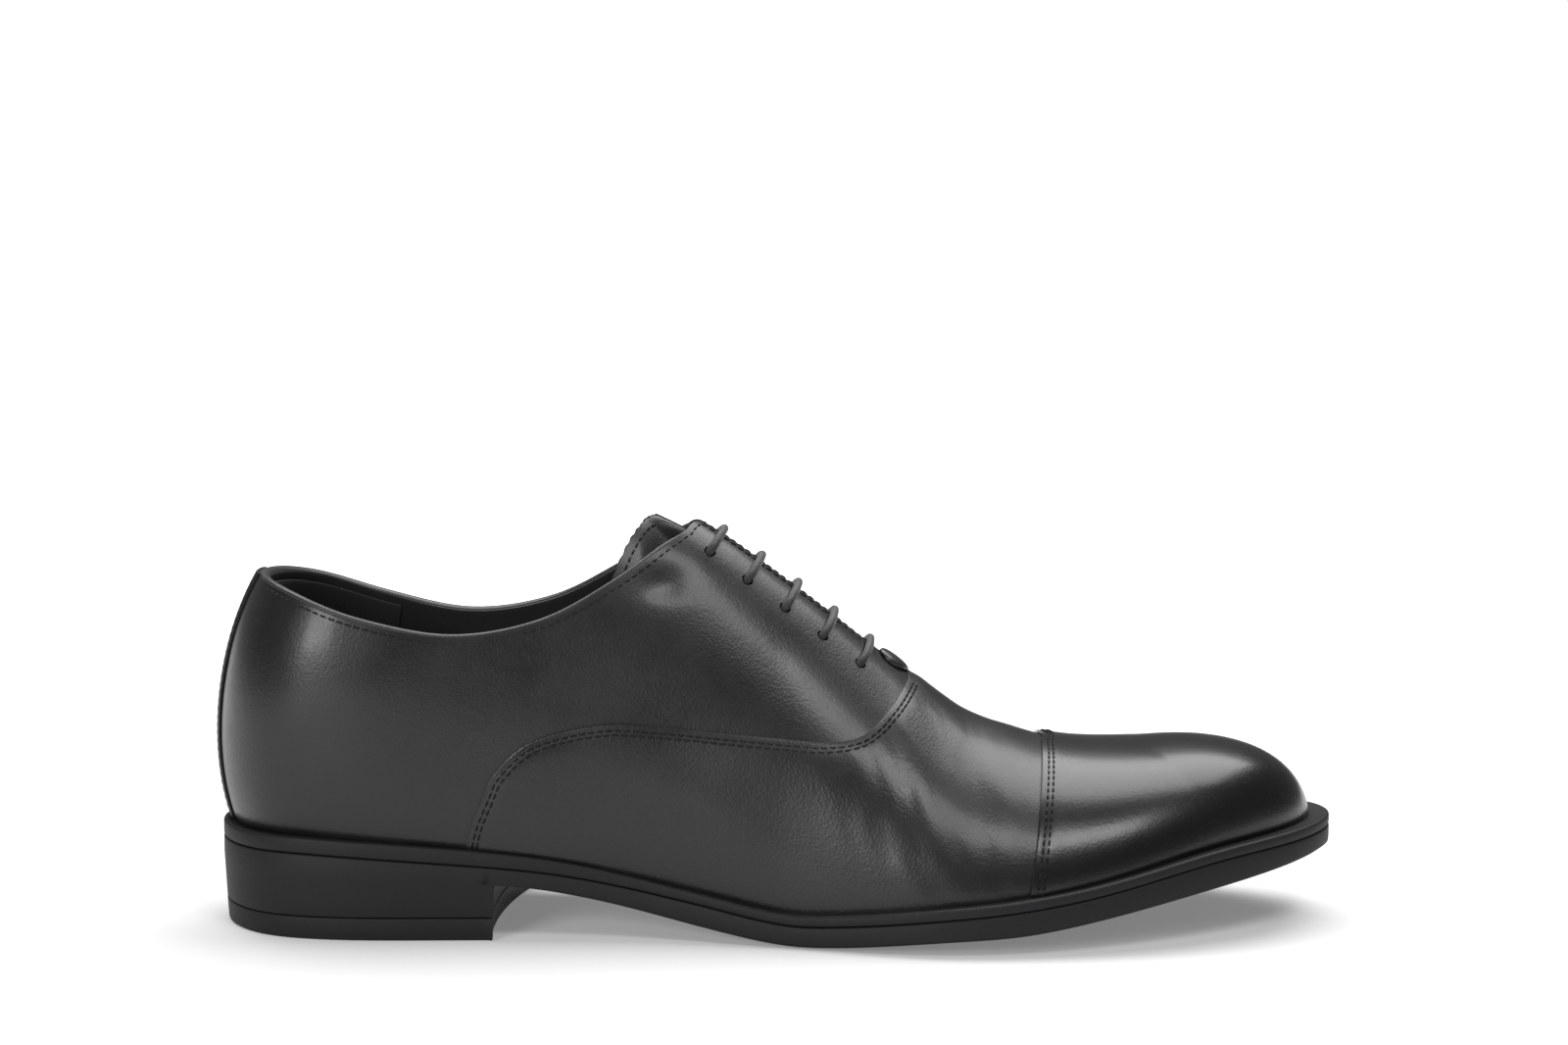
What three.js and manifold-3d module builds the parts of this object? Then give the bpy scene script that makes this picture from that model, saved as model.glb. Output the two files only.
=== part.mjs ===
// A right cap-toe oxford shoe as the separate pieces that a shoemaker cuts, lasts and nails together.
// Millimetres. x runs from the back of the heel to the toe, +y is the medial side, z = 0 is the ground.
import * as THREE from "three";
import { mergeVertices } from "three/addons/utils/BufferGeometryUtils.js";
import Module from "manifold-3d";

const wasm = await Module();
wasm.setup();

// ---- Driving dimensions ----------------------------------------------------------------------
const SOLE_LENGTH = 304;
const PATTERN_LENGTH = 304; // the patterns' stations are drawn for this length and graded to the sole's
const GAP = 0.3; // between pieces that touch on the real shoe

// Sole edge seen from above: [x, lateral half breadth, medial half breadth].
const SOLE_BREADTHS = [
  [12, 25.5, 25],
  [34, 33.5, 33],
  [77, 34, 32],
  [115, 34, 27.5],
  [150, 41, 33.5],
  [190, 51, 46],
  [215, 51.5, 48.5],
  [245, 46.5, 43.5],
  [272, 36.5, 34.5],
  [292, 23.5, 22.5],
];
const TOE_SWING = 4; // the tip lies this far to the medial side
const SWING_START = 190;

// Heights of the sole's layers: [x, z]. The welt's top, the seam under the welt, the outsole's lower edge.
const WELT_TOP = [[0, 27.6], [28, 27.4], [62, 25], [92, 21.6], [129, 13.8], [153, 9.1], [167, 9.3],
  [195, 12.3], [215, 14.4], [235, 17.6], [270, 24.9], [304, 28]];
const WELT_HEEL_THICKNESS = 4.3;
const WELT_FOREPART_THICKNESS = 2.8;
const OUTSOLE_EDGE = [[0, 18.4], [77, 15.2], [99, 11.9], [133, 4.1], [153, 0.7], [167, 0.8], [195, 3.6],
  [215, 5.1], [229, 7.2], [264, 14], [304, 20.6]];
const OUTSOLE_CROWN = 0.7; // how far the middle of the forepart hangs below its edge
const WELT_WIDTH_INSIDE = 6; // the welt runs this far in under the upper
const HEEL_BREAST = 77;
const BREAST_CURVE = 2.6;
const BREAST_SKEW = 6.5; // the medial corner lies this far ahead
const HEEL_TAPER = 1;
const SEAM_CLEARANCE = 0.5; // between the outsole and what lies on it, where both are curved
const TOP_LIFT_THICKNESS = 6.2;
const INSOLE_THICKNESS = 2.4;
const SOCK_THICKNESS = 1;
const INSOLE_CLEARANCE = 1.3;
const WALL_CLOSING = 0.25; // how far the lining closes in for each millimetre above the insole
const SHANK = { from: 62, to: 158, width: 16, thickness: 1.4 };
const NAIL = {
  radius: 1.1,
  head: 2,
  clearance: 0.3,
  tip: 10,
  spots: [[20, 0], [33, 16], [33, -16], [54, 18], [54, -18]],
};

// The upper's skin is a loft from the feather line to a crest line; each stretch has
// [x, setback from the sole edge, outward lean, rise of the wall, breadth of the crest].
const SKIN = [
  [0, 4.4, 12.4, 29, 43.8],
  [34, 4, 8.5, 31, 34],
  [77, 3.8, 4.5, 34, 25],
  [115, 4.2, 6, 35, 22],
  [150, 5, 4, 30, 21.5],
  [190, 6, 3.5, 21, 22],
  [215, 6.6, 3, 17, 24],
  [245, 7.4, 2.2, 13.5, 27],
  [304, 8, 0.4, 11, 32.5],
];
const CREST = [[40, 119.5], [75, 122.5], [105, 119.5], [131, 108.8], [157, 90.6], [184, 69.3], [201, 56.5],
  [213, 51.4], [228, 47.2], [248, 45.9], [262, 46.8]];
const CREST_BACK = { from: 75, reach: 30 }; // the crest's back end gathers within this reach
const CREST_FRONT = { from: 220, reach: 42 };
const SKIN_TUCK = 3; // the loft starts this far below the welt's top and is trimmed on it

// Layers, as distances out from the skin: [inner face, outer face].
const LEATHER = 1.2;
const QUARTER_LAYER = [-LEATHER, 0];
const VAMP_LAYER = [GAP, GAP + LEATHER];
const CAP_LAYER = [VAMP_LAYER[1] + GAP, VAMP_LAYER[1] + GAP + LEATHER];
const STIFFENER = 0.6;
const STIFFENER_LAYER = [-LEATHER - GAP - STIFFENER, -LEATHER - GAP];
const LINING = 0.8;
const LINING_LAYER = [STIFFENER_LAYER[0] - GAP - LINING, STIFFENER_LAYER[0] - GAP];
const GRIP_LAYER = [LINING_LAYER[0] - GAP - LINING, LINING_LAYER[0] - GAP];
const INTERLINING_LAYER = [-0.9, 0];

// Pattern lines seen from the side: [x, z].
const TOPLINE = [[-6, 98.4], [10, 96.4], [21, 93.6], [42, 86.5], [66, 82], [89, 85.8], [108, 95.6],
  [123, 105.8], [131, 110.2], [138, 113.8]];
const VAMP_SEAM = [[67, 12], [70, 28.5], [73.8, 38.3], [77.2, 45], [86.7, 53.1], [104.3, 57.4], [120.5, 57],
  [154.2, 53.7], [165, 52.9], [174.3, 54.2], [181.7, 59.9], [187.6, 66.3], [192.2, 71.5], [193.3, 83]];
const SEAM_OVERLAP = 9;
const CAP_EDGE = { top: 224.4, bottom: 217.7, height: 54 };
const CAP_OVERLAP = 9;
const FACING_GAP = 1.6;
const BINDING_RADIUS = 0.9;
const BINDING_GAP = 0.8;
const BINDING_FRONT = 122; // the binding ends here, under the facing's corner
const BACK_STRIP = { top: 8, bottom: 10 };
const GRIP_REACH = 40;
const COUNTER = { reach: 82, height: 79, drop: 30 };
const VAMP_LINING_BACK = 112;
const QUARTER_LINING_FRONT = 128;
const THROAT_TAB = { x: 183.7, length: 7.4, breadth: 10.5 };
const STAY_DROP = 6.75; // the stay's lower edge, square below the eyelets

// Eyelets and lace.
const EYELETS = 5;
const EYELET_TOP = [133.8, 101.6];
const EYELET_STEP = [10.13, -7.5];
const LACE_RADIUS = 1.15;
const HOLE_RADIUS = LACE_RADIUS + 0.5;
const EYELET_WALL = 0.4;
const EYELET_FLANGE = 2.7;
const FLANGE_CLEARANCE = 0.7; // a flat flange under a curved lining
const AGLET = { radius: 1.4, length: 18 };

// Tongue.
const TONGUE_THICKNESS = 1.2;
const TONGUE_CLEARANCE = 0.55; // under the lace's inner runs, and under the lining at its free top
const TONGUE = { top: 109, dip: 12, base: 186, halfTop: 19, halfBase: 14 }; // dip: the top edge's hollow

// Mesh fineness.
const ALONG = 32;
const UP = 9;
const ACROSS = 6;
const MESH_TOLERANCE = 0.1; // faces flatter than this are merged

// ---- Curves ----------------------------------------------------------------------------------

// A smooth function through [position, value, ...] stations; column picks the value.
function through(stations, column = 1) {
  const slope = (i) => {
    const a = stations[Math.max(i - 1, 0)];
    const b = stations[Math.min(i + 1, stations.length - 1)];
    return (b[column] - a[column]) / (b[0] - a[0]);
  };
  return (x) => {
    const last = stations.length - 1;
    if (x <= stations[0][0]) return stations[0][column];
    if (x >= stations[last][0]) return stations[last][column];
    const i = stations.findIndex((s) => s[0] > x) - 1;
    const span = stations[i + 1][0] - stations[i][0];
    const f = (x - stations[i][0]) / span;
    const [a, b] = [stations[i][column], stations[i + 1][column]];
    return a * (1 + 2 * f) * (1 - f) ** 2 + b * f * f * (3 - 2 * f)
      + span * f * (1 - f) * (slope(i) * (1 - f) - slope(i + 1) * f);
  };
}

const GRADE = SOLE_LENGTH / PATTERN_LENGTH;
const graded = (stations) => stations.map(([x, ...rest]) => [x * GRADE, ...rest]);
const LATERAL = -1;
const MEDIAL = 1;
const turnOf = (x) => Math.acos(1 - (2 * x) / SOLE_LENGTH) / Math.PI; // 0 at the heel, 1 at the toe
const breadthTable = (column) =>
  through([[0, 0], ...graded(SOLE_BREADTHS).map((s) => [turnOf(s[0]), s[column]]), [1, 0]]);
const breadths = { [LATERAL]: breadthTable(1), [MEDIAL]: breadthTable(2) };
const weltTop = through(graded(WELT_TOP));
const outsoleEdge = through(graded(OUTSOLE_EDGE));
const crestHeight = through(graded(CREST));
const weltSeam = (x) => weltTop(x) - THREE.MathUtils.lerp(WELT_HEEL_THICKNESS, WELT_FOREPART_THICKNESS,
  THREE.MathUtils.smoothstep(x, 40 * GRADE, 150 * GRADE));
const swing = (x) => {
  const share = (x / GRADE - SWING_START) / (PATTERN_LENGTH - SWING_START);
  return TOE_SWING * THREE.MathUtils.clamp(share, 0, 1) ** 2;
};

function soleEdge(side, u) {
  const x = (SOLE_LENGTH * (1 - Math.cos(Math.PI * u))) / 2;
  const inside = Math.min(Math.abs(u), 2 - u);
  const half = breadths[side](inside) * (u < 0 || u > 1 ? -1 : 1);
  return new THREE.Vector2(x, swing(x) + side * half);
}

// The sole edge moved inwards, and its outward direction seen from above.
function insetEdge(side, u, inset) {
  const tangent = soleEdge(side, u + 1e-3).sub(soleEdge(side, u - 1e-3)).normalize();
  const out = new THREE.Vector2(tangent.y * side * -1, tangent.x * side);
  return { point: soleEdge(side, u).addScaledVector(out, -inset), out };
}

// ---- The skin of the upper -------------------------------------------------------------------
const [setback, lean, rise, crestBreadth] = [1, 2, 3, 4].map((column) => through(graded(SKIN), column));

function crestPlace(x) {
  const [back, front] = [CREST_BACK.from * GRADE, CREST_FRONT.from * GRADE];
  const gathered = (past, reach) => reach * (1 - Math.exp(-past / reach));
  if (x < back) return back - gathered(back - x, CREST_BACK.reach * GRADE);
  if (x > front) return front + gathered(x - front, CREST_FRONT.reach * GRADE);
  return x;
}

function skinCurve(side, u) {
  const station = soleEdge(side, u).x;
  const { point, out } = insetEdge(side, u, setback(station));
  const foot = new THREE.Vector3(point.x, point.y, weltTop(point.x) - SKIN_TUCK);
  const outwards = (reach, up) => new THREE.Vector3(out.x * reach, out.y * reach, up);
  const wall = foot.clone().add(outwards(lean(station), rise(station)));
  const x = crestPlace(point.x);
  const crest = new THREE.Vector3(x, swing(x), crestHeight(x));
  const pitch = crestHeight(x + 0.5) - crestHeight(x - 0.5);
  const shoulder = crest.clone().addScaledVector(outwards(1, out.x * pitch), crestBreadth(station));
  return new THREE.CubicBezierCurve3(foot, wall, shoulder, crest);
}

const skinPoint = (side, u, t) => skinCurve(side, u).getPoint(t);

function skinNormal(side, u, t) {
  const [a, b] = [Math.max(u - 1e-3, 0), Math.min(u + 1e-3, 1)];
  if (t > 0.999) {
    const x = skinPoint(side, u, 1).x;
    return new THREE.Vector3(crestHeight(x - 0.5) - crestHeight(x + 0.5), 0, 1).normalize();
  }
  const low = THREE.MathUtils.clamp(t, 0.001, 0.995);
  const along = u <= 0 || u >= 1
    ? new THREE.Vector3(0, u <= 0 ? side : -side, 0)
    : skinPoint(side, b, low).sub(skinPoint(side, a, low));
  const up = skinPoint(side, u, low + 1e-3).sub(skinPoint(side, u, low - 1e-3));
  return along.cross(up).multiplyScalar(-side).normalize();
}

const offSkin = (side, u, t, depth) => skinPoint(side, u, t).addScaledVector(skinNormal(side, u, t), depth);

// The place on the skin that is seen from the side at (x, z), as [u, t].
function findSpot(side, x, z) {
  let u = turnOf(x);
  let t = 0.5;
  for (let round = 0; round < 12; round += 1) {
    let [low, high] = [0, 1];
    const curve = skinCurve(side, u);
    for (let i = 0; i < 26; i += 1) {
      t = (low + high) / 2;
      if (curve.getPoint(t).z < z) low = t;
      else high = t;
    }
    const station = soleEdge(side, u).x + x - curve.getPoint(t).x;
    u = turnOf(THREE.MathUtils.clamp(station, 0.01, SOLE_LENGTH - 0.01));
  }
  return [u, t];
}

const fromSide = (side, x, z, depth) => offSkin(side, ...findSpot(side, x, z), depth);

// ---- Solids ----------------------------------------------------------------------------------
function solidFrom(geometry) {
  geometry.deleteAttribute("normal");
  geometry.deleteAttribute("uv");
  const merged = mergeVertices(geometry, 1e-4);
  return new wasm.Manifold(new wasm.Mesh({
    numProp: 3,
    vertProperties: new Float32Array(merged.attributes.position.array),
    triVerts: new Uint32Array(merged.index.array),
  }));
}

function solidFromLists(points, faces) {
  const geometry = new THREE.BufferGeometry();
  const places = points.flatMap((p) => [p.x, p.y, p.z]);
  geometry.setAttribute("position", new THREE.Float32BufferAttribute(places, 3));
  geometry.setIndex(faces.flat());
  return solidFrom(geometry);
}

function geometryFrom(solid) {
  const mesh = solid.simplify(MESH_TOLERANCE).getMesh();
  const geometry = new THREE.BufferGeometry();
  geometry.setAttribute("position", new THREE.BufferAttribute(mesh.vertProperties, 3));
  geometry.setIndex(new THREE.BufferAttribute(mesh.triVerts, 1));
  const flat = geometry.toNonIndexed();
  flat.computeVertexNormals();
  return flat;
}

// A dome over the whole last between two distances from the skin; a distance may vary with [u, t].
function dome(inner, outer) {
  const columns = 2 * ALONG;
  const depthAt = (d, u, t) => (typeof d === "function" ? d(u, t) : d);
  const points = [];
  for (const d of [outer, inner]) {
    for (let k = 0; k < columns; k += 1) {
      const side = k <= ALONG ? LATERAL : MEDIAL;
      const u = Math.min(k, columns - k) / ALONG;
      for (let j = 0; j < UP; j += 1) points.push(offSkin(side, u, j / UP, depthAt(d, u, j / UP)));
    }
    for (let i = 0; i <= ALONG; i += 1) points.push(offSkin(LATERAL, i / ALONG, 1, depthAt(d, i / ALONG, 1)));
  }
  const shell = columns * UP + ALONG + 1;
  const at = (k, j) => {
    const column = k % columns;
    return j < UP ? column * UP + j : columns * UP + Math.min(column, columns - column);
  };
  const faces = [];
  for (let k = 0; k < columns; k += 1) {
    for (let j = 0; j < UP; j += 1) {
      const [a, b, c, d] = [at(k, j), at(k + 1, j), at(k + 1, j + 1), at(k, j + 1)];
      faces.push([a, b, c], [a, c, d], [a + shell, c + shell, b + shell], [a + shell, d + shell, c + shell]);
    }
    const [a, b] = [at(k, 0), at(k + 1, 0)];
    faces.push([a, a + shell, b + shell], [a, b + shell, b]);
  }
  return solidFromLists(points, faces);
}

// A slab between two heights, inside the sole edge by insets that may vary with x.
function slab({ insetTop, insetBottom = insetTop, top, bottom }) {
  const insetOf = (inset, x) => (typeof inset === "function" ? inset(x) : inset);
  const points = [];
  for (const [inset, height] of [[insetTop, top], [insetBottom, bottom]]) {
    for (let i = 0; i <= ALONG; i += 1) {
      const u = i / ALONG;
      const x = soleEdge(LATERAL, u).x;
      const [left, right] = [LATERAL, MEDIAL].map((side) => insetEdge(side, u, insetOf(inset, x)).point);
      const lanes = i === 0 || i === ALONG ? 0 : ACROSS;
      for (let j = 0; j <= lanes; j += 1) {
        const q = lanes ? j / lanes : 0.5;
        const place = left.clone().lerp(right, q);
        points.push(new THREE.Vector3(place.x, place.y, height(place.x, 2 * q - 1)));
      }
    }
  }
  const level = 2 + (ALONG - 1) * (ACROSS + 1);
  const at = (i, j) => (i === 0 ? 0 : i === ALONG ? level - 1 : 1 + (i - 1) * (ACROSS + 1) + j);
  const faces = [];
  const quad = (a, b, c, d) => {
    if (a !== b && b !== c && a !== c) faces.push([a, b, c]);
    if (a !== c && c !== d && a !== d) faces.push([a, c, d]);
  };
  for (let i = 0; i < ALONG; i += 1) {
    for (let j = 0; j < ACROSS; j += 1) {
      quad(at(i, j), at(i + 1, j), at(i + 1, j + 1), at(i, j + 1));
      quad(at(i, j + 1) + level, at(i + 1, j + 1) + level, at(i + 1, j) + level, at(i, j) + level);
    }
    quad(at(i, 0) + level, at(i + 1, 0) + level, at(i + 1, 0), at(i, 0));
    quad(at(i + 1, ACROSS) + level, at(i, ACROSS) + level, at(i, ACROSS), at(i + 1, ACROSS));
  }
  return solidFromLists(points, faces);
}

// A pattern outline seen from the side, run across the shoe between two y values.
function sideCut(outline, from, to) {
  const shape = new THREE.Shape(outline);
  const geometry = new THREE.ExtrudeGeometry(shape, { depth: to - from, bevelEnabled: false });
  geometry.rotateX(Math.PI / 2).translate(0, to, 0);
  return solidFrom(geometry);
}

function planCut(shape, low, high) {
  const settings = { depth: high - low, bevelEnabled: false, curveSegments: 10 };
  const geometry = new THREE.ExtrudeGeometry(shape, settings);
  return solidFrom(geometry.translate(0, 0, low));
}

const vectors = (points) => points.map(([x, z]) => new THREE.Vector2(x, z));
const splinePoints = (points, steps) => new THREE.SplineCurve(vectors(points)).getPoints(steps);

// ---- Cutting patterns ------------------------------------------------------------------------
const FAR = 400;
const TOPLINE_CUT = 2 * BINDING_RADIUS + BINDING_GAP; // the leather ends this far below the bound topline
const toplinePoints = splinePoints(graded(TOPLINE), 26).map((p) => p.clone().setY(p.y - TOPLINE_CUT));
const seamPoints = splinePoints(graded(VAMP_SEAM), 24);
const aboveWelt = sideCut([
  ...graded(WELT_TOP).map(([x]) => new THREE.Vector2(x, weltTop(x) + GAP)),
  ...vectors([[FAR, WELT_TOP.at(-1)[1] + GAP], [FAR, FAR], [-FAR, FAR], [-FAR, WELT_TOP[0][1] + GAP]]),
], -FAR, FAR);
const belowTopline = sideCut([
  ...toplinePoints,
  ...vectors([[FAR, 112], [FAR, -FAR], [-FAR, -FAR], [-FAR, 96]]),
], -FAR, FAR);
const ahead = (x) => sideCut(vectors([[x, -FAR], [FAR, -FAR], [FAR, FAR], [x, FAR]]), -FAR, FAR);
const behind = (x) => sideCut(vectors([[-FAR, -FAR], [x, -FAR], [x, FAR], [-FAR, FAR]]), -FAR, FAR);
const everything = vectors([[-FAR, -FAR], [FAR, -FAR], [FAR, FAR], [-FAR, FAR]]);
const half = (side, from = FACING_GAP / 2) =>
  sideCut(everything, side === LATERAL ? -FAR : from, side === LATERAL ? -from : FAR);

// Everything ahead of the vamp's rear edge, with the edge moved by a shift forwards and down.
function vampRegion(shift) {
  const edge = seamPoints.map((p) => new THREE.Vector2(p.x + shift, p.y - shift));
  const around = vectors([[edge.at(-1).x, FAR], [FAR, FAR], [FAR, -FAR], [edge[0].x, -FAR]]);
  return sideCut([...edge, ...around].reverse(), -FAR, FAR);
}

// The toe cap's straight edge leans with the height.
function capRegion(shift) {
  const { height } = CAP_EDGE;
  const [top, bottom] = [CAP_EDGE.top * GRADE, CAP_EDGE.bottom * GRADE];
  const edge = [[top + shift, FAR], [top + shift, height], [bottom + shift, weltTop(bottom)]];
  return sideCut(vectors([[bottom + shift, -FAR], [FAR, -FAR], [FAR, FAR], ...edge]), -FAR, FAR);
}

const layer = ([inner, outer]) => dome(inner, outer).intersect(aboveWelt);

// ---- Eyelets, lace and binding routes --------------------------------------------------------
const eyeletPlace = (row) =>
  [(EYELET_TOP[0] + row * EYELET_STEP[0]) * GRADE, EYELET_TOP[1] + row * EYELET_STEP[1]];
// Square to the row of eyelets, seen from the side.
const ridgeUp = new THREE.Vector2(-EYELET_STEP[1], EYELET_STEP[0] * GRADE).normalize();

const turnTo = (direction) =>
  new THREE.Quaternion().setFromUnitVectors(new THREE.Vector3(0, 1, 0), direction);

function cylinderAlong(from, to, radius, sides) {
  const geometry = new THREE.CylinderGeometry(radius, radius, from.distanceTo(to), sides);
  geometry.applyQuaternion(turnTo(to.clone().sub(from).normalize()));
  return solidFrom(geometry.translate(...from.clone().add(to).multiplyScalar(0.5)));
}

function drill(side, row, radius) {
  const spot = findSpot(side, ...eyeletPlace(row));
  return cylinderAlong(offSkin(side, ...spot, -8), offSkin(side, ...spot, 8), radius, 10);
}

const drilled = (solid, side, radius) =>
  [...Array(EYELETS).keys()].reduce((left, row) => left.subtract(drill(side, row, radius)), solid);

// The plane across the ridge through an eyelet: places from the eyelet (0) up to the crest (1).
function acrossRidge(side, row, fraction, depth) {
  const [x, z] = eyeletPlace(row);
  let top = x;
  for (let i = 0; i < 20; i += 1) top = x + (ridgeUp.x / ridgeUp.y) * (crestHeight(top) - z);
  if (fraction >= 1) return offSkin(side, turnOf(nearestStation(side, top)), 1, depth);
  return fromSide(side, x + fraction * (top - x), z + fraction * (crestHeight(top) - z), depth);
}

// The sole station whose crest lies at x.
function nearestStation(side, x) {
  let station = x;
  for (let i = 0; i < 12; i += 1) station += x - skinPoint(side, turnOf(station), 1).x;
  return station;
}

// One lace in its route order: a curve whose steps follow its points, so that it is finest at the bends.
class LaceRoute extends THREE.CatmullRomCurve3 {
  getPointAt(u, target) {
    return this.getPoint(u, target);
  }

  getTangentAt(u, target) {
    return this.getTangent(u, target);
  }
}

const OVER = LACE_RADIUS + GAP;
const FLANGE_DEPTH = -LINING_LAYER[0] + FLANGE_CLEARANCE;
const UNDER = -(FLANGE_DEPTH + EYELET_WALL + GAP + LACE_RADIUS);

// A bar over the closed facings, from one eyelet to the one opposite.
function bar(row, from) {
  const to = -from;
  const rise = (side) => [
    acrossRidge(side, row, 0, -2.4), acrossRidge(side, row, 0.02, -0.5), acrossRidge(side, row, 0.1, 0.7),
    acrossRidge(side, row, 0.25, OVER), acrossRidge(side, row, 0.6, OVER)];
  return [...rise(from), acrossRidge(from, row, 1, OVER), ...rise(to).reverse()];
}

// A run under the facing between two eyelets of one side; aside moves its middle off the eyelets it passes.
function run(side, from, to, aside) {
  const count = Math.abs(to - from) * 2;
  const [x0, z0] = eyeletPlace(from);
  const [x1, z1] = eyeletPlace(to);
  const points = [fromSide(side, x0, z0, UNDER + 1.2)];
  for (let i = 0; i <= count; i += 1) {
    const f = THREE.MathUtils.lerp(0.12 / count, 1 - 0.12 / count, i / count);
    const swerve = aside * Math.sin(Math.PI * f) ** 0.6;
    const x = THREE.MathUtils.lerp(x0, x1, f) + ridgeUp.x * swerve;
    const z = THREE.MathUtils.lerp(z0, z1, f) + ridgeUp.y * swerve;
    points.push(fromSide(side, x, z, UNDER));
  }
  points.push(fromSide(side, x1, z1, UNDER + 1.2));
  return points;
}

const insoleTop = (x) => weltTop(x) + GAP + INSOLE_THICKNESS;
const sockTop = (x) => insoleTop(x) + GAP + SOCK_THICKNESS;
const insideWall = (x) => setback(x) - LINING_LAYER[0] + INSOLE_CLEARANCE;

// A tail down the lining and back along the sock liner's edge, listed from its eyelet to its tip.
function tail(side, row) {
  const [x, z] = eyeletPlace(row);
  const down = [[x - 1.2, z - 3], [x - 3, z - 12], [x - 6, z - 26], [x - 10, z - 42]];
  const along = [112, 102, 92, 82, 72, 62, 52].map((station) => station * GRADE);
  const inset = (station) => insideWall(station) + LACE_RADIUS + 0.6;
  return [
    fromSide(side, x, z, UNDER + 1.2),
    ...down.map(([a, b], i) => fromSide(side, a, b, i ? LINING_LAYER[0] - LACE_RADIUS - 0.9 : UNDER)),
    ...along.map((station, i) => {
      const { point } = insetEdge(side, turnOf(station), inset(station));
      return new THREE.Vector3(point.x, point.y, sockTop(point.x) + LACE_RADIUS + GAP + (i ? 0 : 3));
    }),
  ];
}

const ASIDE = 2 * LACE_RADIUS + GAP;
const lacePoints = [
  ...tail(LATERAL, 1).reverse(), ...bar(1, LATERAL), ...run(MEDIAL, 1, 3, -ASIDE), ...bar(3, MEDIAL),
  ...run(LATERAL, 3, 4, 0), ...bar(4, LATERAL), ...run(MEDIAL, 4, 2, ASIDE), ...bar(2, MEDIAL),
  ...run(LATERAL, 2, 0, ASIDE), ...bar(0, LATERAL), ...tail(MEDIAL, 0)];

// Where the skin meets the finished topline at a turn round the collar.
function collarPoint(side, u, depth) {
  const line = splineHeight(toplinePoints);
  let [low, high] = [0.2, 1];
  for (let i = 0; i < 30; i += 1) {
    const middle = (low + high) / 2;
    const p = skinPoint(side, u, middle);
    if (p.z < line(p.x)) low = middle;
    else high = middle;
  }
  return offSkin(side, u, low, depth).add(new THREE.Vector3(0, 0, BINDING_RADIUS + BINDING_GAP));
}

function splineHeight(points) {
  return (x) => {
    const i = THREE.MathUtils.clamp(points.findIndex((p) => p.x > x), 1, points.length - 1);
    const [a, b] = [points[i - 1], points[i]];
    return a.y + ((b.y - a.y) * (x - a.x)) / (b.x - a.x);
  };
}

function tubeAlong(route, radius, sides, steps) {
  const ring = new THREE.EllipseCurve(0, 0, radius, radius).getPoints(sides).slice(0, sides);
  const section = new THREE.Shape(ring);
  return solidFrom(new THREE.ExtrudeGeometry(section, { extrudePath: route, steps, bevelEnabled: false }));
}

// ---- The upper's pieces ----------------------------------------------------------------------
const cut = (solid, ...keep) => keep.reduce((left, part) => left.intersect(part), solid);
const beneathVamp = vampRegion(SEAM_OVERLAP);

function quarter(side) {
  const piece = cut(layer(QUARTER_LAYER), belowTopline, half(side)).subtract(beneathVamp);
  return drilled(piece, side, HOLE_RADIUS);
}

const vamp = () => cut(layer(VAMP_LAYER), vampRegion(0)).subtract(capRegion(CAP_OVERLAP));
const toeCap = () => cut(layer(CAP_LAYER), capRegion(0));
const toePuff = () => cut(layer(VAMP_LAYER), capRegion(CAP_OVERLAP + GAP));
const vampInterlining = () => cut(layer(INTERLINING_LAYER), vampRegion(SEAM_OVERLAP + GAP));

function backStrip() {
  const { top, bottom } = BACK_STRIP;
  const outline = new THREE.Shape(vectors([[-bottom, 0], [bottom, 0], [top, FAR], [-top, FAR]]));
  const geometry = new THREE.ExtrudeGeometry(outline, { depth: FAR, bevelEnabled: false });
  geometry.rotateX(Math.PI / 2).rotateZ(-Math.PI / 2).translate(50, 0, 0);
  return cut(layer(VAMP_LAYER), solidFrom(geometry), behind(40), belowTopline);
}

function throatTab() {
  const oval = new THREE.Shape();
  const [halfLength, halfBreadth] = [THROAT_TAB.length / 2, THROAT_TAB.breadth / 2];
  oval.absellipse(THROAT_TAB.x * GRADE, 0, halfLength, halfBreadth, 0, 2 * Math.PI, false, 0);
  return cut(layer(VAMP_LAYER), planCut(oval, 40, 100));
}

function topBinding() {
  const first = BINDING_FRONT * GRADE;
  const turns = 26;
  const depth = (QUARTER_LAYER[1] + LINING_LAYER[0]) / 2;
  const sideRun = (side) =>
    [...Array(turns + 1).keys()].map((i) => collarPoint(side, (turnOf(first) * i) / turns, depth));
  const points = [...sideRun(LATERAL).reverse(), ...sideRun(MEDIAL).slice(1)];
  const route = new THREE.CatmullRomCurve3(points, false, "centripetal");
  return tubeAlong(route, BINDING_RADIUS, 6, 70);
}

// ---- Linings and stiffeners ------------------------------------------------------------------
const stayZone = (side) => {
  const low = [...Array(EYELETS).keys()].map(eyeletPlace);
  const edge = [[low[0][0] - 6, low[0][1] + 4], ...low, [182.5 * GRADE, 64.5]]
    .map(([x, z]) => [x - ridgeUp.x * STAY_DROP, z - ridgeUp.y * STAY_DROP]);
  return cut(sideCut(vectors([...edge, [184 * GRADE, FAR], [edge[0][0], FAR]]), -FAR, FAR), half(side));
};

const STAY_HOLE = HOLE_RADIUS + EYELET_WALL + GAP;
const facingStay = (side) =>
  drilled(cut(layer(STIFFENER_LAYER), belowTopline, stayZone(side)), side, STAY_HOLE);

function heelCounter() {
  const { height, drop } = COUNTER;
  const reach = COUNTER.reach * GRADE;
  const outline = vectors([[-FAR, -FAR], [reach, -FAR], [reach, height - drop - 12],
    [reach - 14, height - drop],
    [30, height], [-FAR, height]]);
  return cut(layer(STIFFENER_LAYER), sideCut(outline, -FAR, FAR));
}

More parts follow.
